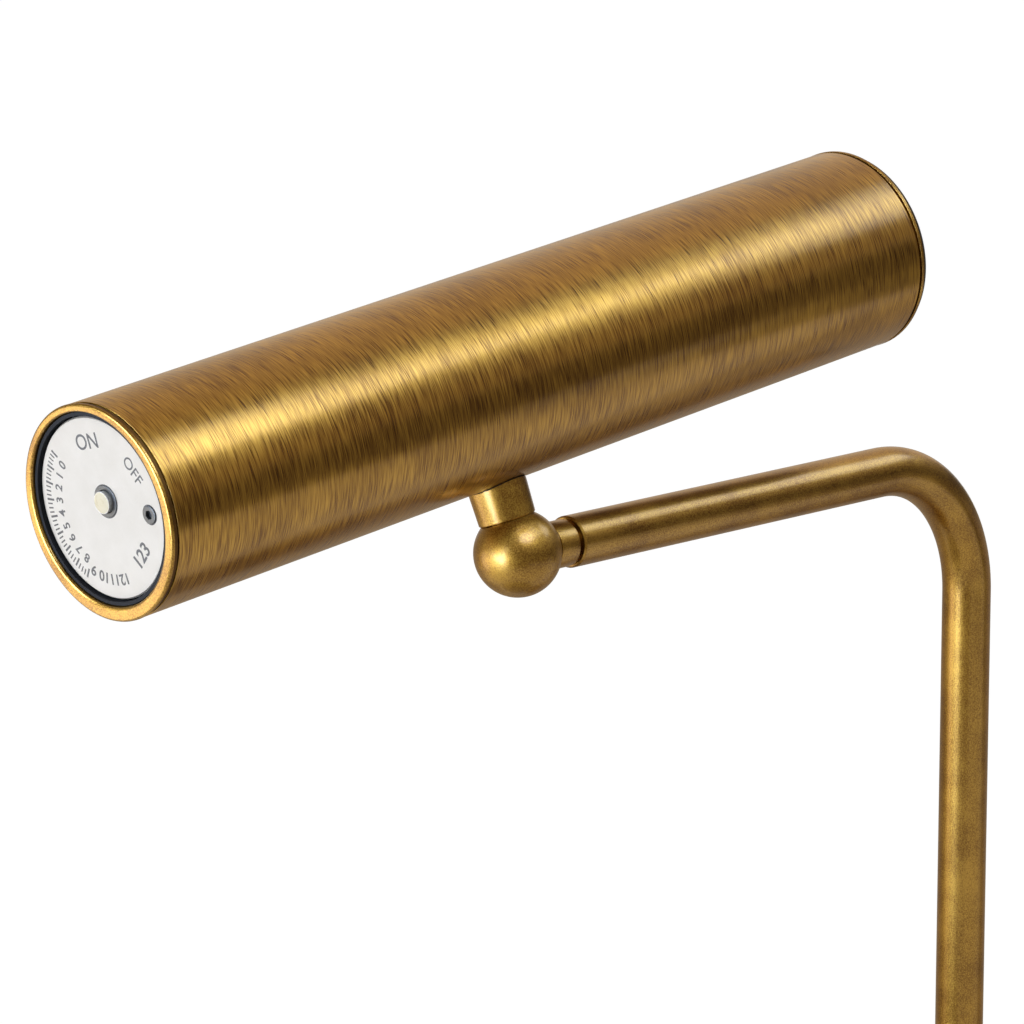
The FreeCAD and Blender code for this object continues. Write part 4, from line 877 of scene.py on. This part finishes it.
def bent_tube():
    low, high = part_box("post_arm_tube")
    radius = high.y
    line = centre_line(low.z, low.x, high.z - radius)
    widths = [radius] * (len(line) - 1) + [radius - END_CHAMFER]
    path = [(point, ahead, width) for (point, ahead), width in zip(line, widths)]
    path += [(point, ahead, radius - TUBE_WALL) for point, ahead in reversed(line)]
    shape = bmesh.new()
    rings = []
    for point, ahead, width in path:
        side = Vector((0, 1, 0))
        out = side.cross(ahead)
        rings.append([shape.verts.new(point + (side * math.cos(angle) + out * math.sin(angle)) * width)
                      for angle in (2 * math.pi * step / TUBE_STEPS for step in range(TUBE_STEPS))])
    skin(shape, zip(rings, rings[1:] + rings[:1]))
    return finish_mesh("post_arm_bent", shape, Matrix.Identity(4), SATIN)


belongs(bent_tube(), "arm", "brass_satin", "post_arm_tube")
print("bent tube of", BEND_STEPS, "steps round a", round(BEND_R / MM), "mm bend")

# %% [markdown]
# ## The base
# A spun brass dish over a cast iron disc, with felt below. The dish has a generous rolled shoulder and
# a lip that stands just clear of the table. A turned collar hides the bearing of the post, and a rubber
# grommet lines the cord's way in at the back.

# %% Base pieces
COVER_WALL = 1.2 * MM
COVER_SHOULDER = 6 * MM
COVER_HOLE_R = 7.1 * MM
COLLAR_EDGE = 2.5 * MM
COLLAR_BORE_R = 7.8 * MM  # round the post
COLLAR_SEAT_R = 11.05 * MM  # and, wider, round the bearing below it
COLLAR_SEAT = 4.8 * MM
GRUB_HOLE_R = 1.55 * MM
INLET_R = 5.05 * MM  # the hole in the cover that the grommet lines
GROMMET_NECK_R = 5 * MM
GROMMET_FLANGE = 1.6 * MM
CORD_HOLE_R = 3 * MM


def base_cover():
    low, high = span("base_cover", POST)
    radius = high.z
    inner_round = COVER_SHOULDER - COVER_WALL
    outline = [(low.x, radius - COVER_WALL, 0), (low.x, radius, 0.4 * MM), (high.x, radius, COVER_SHOULDER),
               (high.x, COVER_HOLE_R, 0.2 * MM), (high.x - COVER_WALL, COVER_HOLE_R, 0),
               (high.x - COVER_WALL, radius - COVER_WALL, inner_round)]
    cover = turned("base_cover_spun", outline, POST, SATIN, 240)
    inlet = span("cord_grommet", NECK)
    middle = (inlet[0] + inlet[1]) / 2
    return cut(cover, pin(INLET_R, -12 * MM, 12 * MM, NECK @ Matrix.Translation(middle)))


def base_collar():
    low, high = span("base_collar", POST)
    seat = low.x + COLLAR_SEAT
    outline = [(low.x, COLLAR_SEAT_R, 0), (low.x, high.z, 0.3 * MM), (high.x, high.z, COLLAR_EDGE),
               (high.x, COLLAR_BORE_R, 0.4 * MM), (seat, COLLAR_BORE_R, 0), (seat, COLLAR_SEAT_R, 0)]
    collar = turned("base_collar_turned", outline, POST, SATIN, 144)
    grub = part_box("collar_grub_screw")
    grub_place = place(Vector((0, 0, (grub[0].z + grub[1].z) / 2)), ARM_AXIS, UP)
    return cut(collar, pin(GRUB_HOLE_R, 0, 20 * MM, grub_place, 32))


def felt_pad():
    low, high = span("felt_pad", POST)
    return band("felt_pad_disc", low.x, high.x, 0, high.z, POST, FELT, edges=(0.3 * MM, 0.3 * MM))


def cord_grommet():
    low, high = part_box("cord_grommet")
    where = place(Vector((low.x, 0, (low.z + high.z) / 2)), ARM_AXIS, UP)
    length = high.x - low.x
    outer = (high.z - low.z) / 2
    front, back = GROMMET_FLANGE, length - GROMMET_FLANGE
    outline = [(0, CORD_HOLE_R, 0.3 * MM), (0, outer, 0.4 * MM), (front, outer, 0),
               (front, GROMMET_NECK_R, 0), (back, GROMMET_NECK_R, 0), (back, outer, 0.3 * MM),
               (length, outer, 0.7 * MM), (length, CORD_HOLE_R, 0.5 * MM)]
    return turned("cord_grommet_rubber", outline, where, RUBBER, 96)


belongs(base_cover(), "base", "brass_satin", "base_cover")
belongs(base_collar(), "base", "brass_satin", "base_collar")
belongs(felt_pad(), "base", "felt_dark", "felt_pad")
belongs(cord_grommet(), "base", "rubber_black", "cord_grommet")

# %% [markdown]
# ## The diffuser
# An opal acrylic strip, extruded with the tube's curve, lies behind the window. It is a piece of a
# thick-walled pipe, with one arc outside and one inside.

# %% Diffuser
DIFFUSER_T = 2.0 * MM
DIFFUSER_STEPS = 24


def diffuser():
    outer = diffuser_high.y
    section = []
    reach = math.asin(diffuser_high.z / outer)
    for radius, direction in ((outer, 1), (outer - DIFFUSER_T, -1)):
        for step in range(DIFFUSER_STEPS + 1):
            angle = direction * reach * (2 * step / DIFFUSER_STEPS - 1)
            section.append((radius * math.cos(angle), radius * math.sin(angle)))
    near, far = ([(x, y, z) for y, z in section] for x in (diffuser_low.x, diffuser_high.x))
    return extruded("diffuser_opal_strip", near, far, LIGHT, OPAL)


belongs(diffuser(), "shade", "diffuser_opal", "diffuser")
print("diffuser", round((diffuser_high.x - diffuser_low.x) / MM, 1), "mm long")

# %% [markdown]
# ## The pieces inside
# What the covers hide keeps its CAD shape and gets the finish of its real material.

# %% Finishes of the inner pieces
FINISHES = {
    TURNED: ["swivel_bush", "arm_bush", "post_plug", "ball_washer", "saddle_washer", "stem_nipple",
             "neck_nut", "ball_nut", "shade_nut"],
    ZINC: ["spindle", "lock_nuts", "flat_washer", "post_spring_washer", "neck_spring_washer",
           "ball_spring_washer", "board_screws", "driver_screws", "bracket_screws", "terminal_screws",
           "collar_grub_screw", "button_spring"],
    NATURAL_PLASTIC: ["thrust_washer"],
    IRON: ["base_weight"],
    RUBBER: ["stem_gasket"],
    BLACK_PLASTIC: ["end_bracket", "switch_body", "driver_housing"],
    WHITE_PLASTIC: ["light_box_ends", "terminal_block"],
    SLEEVE: ["base_lead", "arm_lead", "supply_lead", "switch_lead"],
    BOARD_GREEN: ["switch_board", "driver_board"],
    BOARD_WHITE: ["led_board"],
    PHOSPHOR: ["led_chips"],
    ALUMINIUM: ["light_carrier"],
    COMPONENT: ["driver_components"],
}
for material, nodes in FINISHES.items():
    for node in nodes:
        data = frame["nodes"][node].data
        data.materials.clear()
        data.materials.append(material)
print(sum(len(nodes) for nodes in FINISHES.values()), "inner pieces finished")

# %% [markdown]
# ## The studio
# Metal is only as good as what it reflects, so the room is made of large glowing sheets that gloss alone
# sees. Cool soft boxes high on the camera's right give the long highlight on the shade, one low on its
# left lights the ball, arm and post, warm walls fill the rest, and dark flags make the deep tones between.
# A small white card stands where the end plate mirrors it. Paint, paper and plastic get their light from
# the surround and from two soft lamps that gloss doesn't see. The floor is white to the camera and keeps
# the lamp's soft shadow. Azimuths are degrees from the camera's side, plus to its left, round the ball.

# %% Floor and surround
PAPER_GLOW = 1.08
CAMERA_SHARE = 0.9  # how much of the glow a camera ray sees, the rest being the paper's real shading
GLOSS_SHARE = 0.55  # and a glossy ray
SURROUND_LEVEL = 0.42


def floor():
    """White paper that glows for the camera and, less, for gloss, and is plain paper to other light."""
    bpy.ops.mesh.primitive_plane_add(size=12)
    sheet = bpy.context.object
    sheet.name = "studio_floor"
    material, tree, _ = blank("paper_white")
    paint = add(tree, "BsdfDiffuse", {"Color": linear("#f0f0f0")})
    glow = add(tree, "Emission", {"Color": linear("#ffffff"), "Strength": PAPER_GLOW})
    path = add(tree, "LightPath")
    seen = add(tree, "Math", {0: path.outputs["Is Camera Ray"], 1: CAMERA_SHARE}, operation="MULTIPLY")
    mirrored = add(tree, "Math", {0: path.outputs["Is Glossy Ray"], 1: GLOSS_SHARE}, operation="MULTIPLY")
    share = add(tree, "Math", {0: seen, 1: mirrored}, operation="MAXIMUM")
    both = add(tree, "MixShader", {0: share, 1: paint, 2: glow})
    add(tree, "OutputMaterial", {"Surface": both})
    sheet.data.materials.append(material)


def surround():
    """White for camera and glass, and weaker for gloss and as light."""
    world = bpy.data.worlds.new("studio_surround")
    bpy.context.scene.world = world
    world.use_nodes = True
    tree = world.node_tree
    tree.nodes.clear()
    path = add(tree, "LightPath")
    seen = add(tree, "Math", {0: path.outputs["Is Camera Ray"], 1: path.outputs["Is Transmission Ray"]},
               operation="MAXIMUM")
    level = add(tree, "MapRange", {"Value": seen, "To Min": SURROUND_LEVEL, "To Max": 1.0})
    back = add(tree, "Background", {"Color": linear("#ffffff"), "Strength": level})
    add(tree, "OutputWorld", {"Surface": back})


floor()
surround()
print("floor, and surround of", SURROUND_LEVEL)

# %% Sheets for gloss
PANEL_ROWS = 12
PANEL_COLUMNS = 24


def gloss_only(sheet):
    """Leaves a sheet to gloss alone: the camera doesn't see it, and it lights no paint."""
    sheet.visible_camera = False
    sheet.visible_diffuse = False
    sheet.visible_shadow = False


def cloth(name, colour, level):
    """Cloth that glows evenly."""
    material, tree, _ = blank(name + "_cloth")
    glow = add(tree, "Emission", {"Color": linear(colour), "Strength": level})
    add(tree, "OutputMaterial", {"Surface": glow})
    return material


def from_ball(azimuth, elevation):
    """The direction from the ball at an azimuth and an elevation in degrees."""
    turn = math.atan2(-sight.y, -sight.x) - math.radians(azimuth)
    rise = math.radians(elevation)
    return Vector((math.cos(turn) * math.cos(rise), math.sin(turn) * math.cos(rise), math.sin(rise)))


def panel(name, azimuths, elevations, distance, colour, level, disc=False, lean=0):
    """A curved sheet round the ball. A disc has no corners, and lean moves its upper edge sideways."""
    shape = bmesh.new()
    grid = []
    for row in range(PANEL_ROWS + 1):
        line = []
        for column in range(PANEL_COLUMNS + 1):
            side, rise = 2 * column / PANEL_COLUMNS - 1, 2 * row / PANEL_ROWS - 1
            if disc:
                side, rise = side * math.sqrt(1 - rise ** 2 / 2), rise * math.sqrt(1 - side ** 2 / 2)
            azimuth, elevation = (low + (high - low) * (share + 1) / 2
                                  for (low, high), share in ((azimuths, side), (elevations, rise)))
            point = BALL_CENTRE + from_ball(azimuth + lean * rise, elevation) * distance
            line.append(shape.verts.new(point))
        grid.append(line)
    for row in range(PANEL_ROWS):
        for column in range(PANEL_COLUMNS):
            shape.faces.new((grid[row][column], grid[row][column + 1], grid[row + 1][column + 1],
                             grid[row + 1][column]))
    gloss_only(finish_mesh(name, shape, Matrix.Identity(4), cloth(name, colour, level)))


def card(name, face_middle, face, distance, radius, colour, level):
    """A round card placed where a flat face mirrors it to the camera."""
    toward = (camera_place - face_middle).normalized()
    mirrored = 2 * toward.dot(face) * face - toward
    where = place(face_middle + mirrored * distance, mirrored, UP)
    gloss_only(band(name, 0, MM, 0, radius, where, cloth(name, colour, level), 48))


SOFTBOX = "#c8dcff"
CLOTH = "#ffeacd"
CARD_WHITE = "#faf6f2"
# name, azimuths, elevations, metres from the ball, colour, level, disc, lean
PANELS = (
    ("dark_flag", (-150, -98), (-17.5, 12), 0.95, CLOTH, 0.12),
    ("dark_wall", (-98, -84), (-11, 12), 1.9, CLOTH, 0.15),
    ("dark_right", (-86, -30), (-14, 15), 0.6, CLOTH, 0.19),
    ("dark_front", (-30, 29), (-27, 15), 0.6, CLOTH, 0.27),
    ("grey_wall", (-140, 28), (12, 38), 2.9, CLOTH, 0.4),
    ("side_wall", (78, 148), (-26, 66), 0.62, CLOTH, 0.36),
    ("upper_wall", (26, 78), (27, 66), 2.9, CLOTH, 0.38),
    ("back_wall", (145, 230), (4, 66), 3.0, CLOTH, 0.85),
    ("low_back", (120, 240), (-62, -4), 0.36, CLOTH, 0.4),
    ("ceiling", (-180, 180), (64, 89.9), 3.1, CLOTH, 0.5),
    ("key_box_back", (-134, -100), (27, 44), 2.6, SOFTBOX, 5.0),
    ("key_box", (-96, -48), (40, 64), 2.6, SOFTBOX, 4.6),
    ("key_box_front", (-62, -6), (37, 62), 2.5, SOFTBOX, 13.5, True),
    ("left_box", (14, 84), (-34, 36), 0.62, SOFTBOX, 2.6, True, 10),
    ("left_core", (35, 69), (-17, 31), 0.6, SOFTBOX, 23.0, True, 11),
    # A dim sheet under the lamp stands for the lamp's shadow on the floor as gloss sees it: painted shadow.
    ("floor_card", (-180, 180), (-89.9, -66), 0.27, CLOTH, 0.3),
)
for name, *values in PANELS:
    panel("studio_" + name, *values)
card("studio_end_card", SHADE @ Vector((tube_low.x, 0, 0)), -SHADE_AXIS, 0.45, 0.16, CARD_WHITE, 3.3)
print(len(PANELS), "panels and a card")


# %% Lamps for paint and paper
def soft_lamp(name, azimuth, elevation, distance, size, power):
    """A square soft lamp that lights paint and paper. It faces the ball, and gloss does not show it."""
    direction = from_ball(azimuth, elevation)
    data = bpy.data.lights.new(name, "AREA")
    data.size = size
    data.energy = power
    lamp = shown(name, data)
    lamp.visible_glossy = False
    lamp.matrix_world = Matrix.Translation(BALL_CENTRE + direction * distance) @ (
        direction.to_track_quat("Z", "Y").to_matrix().to_4x4())


soft_lamp("left_lamp", 55, 25, 1.2, 0.7, 3.3)
soft_lamp("key_lamp", -60, 50, 2.0, 1.2, 7)
print("two soft lamps")

# %% Colour
bpy.context.scene.view_settings.view_transform = "Standard"
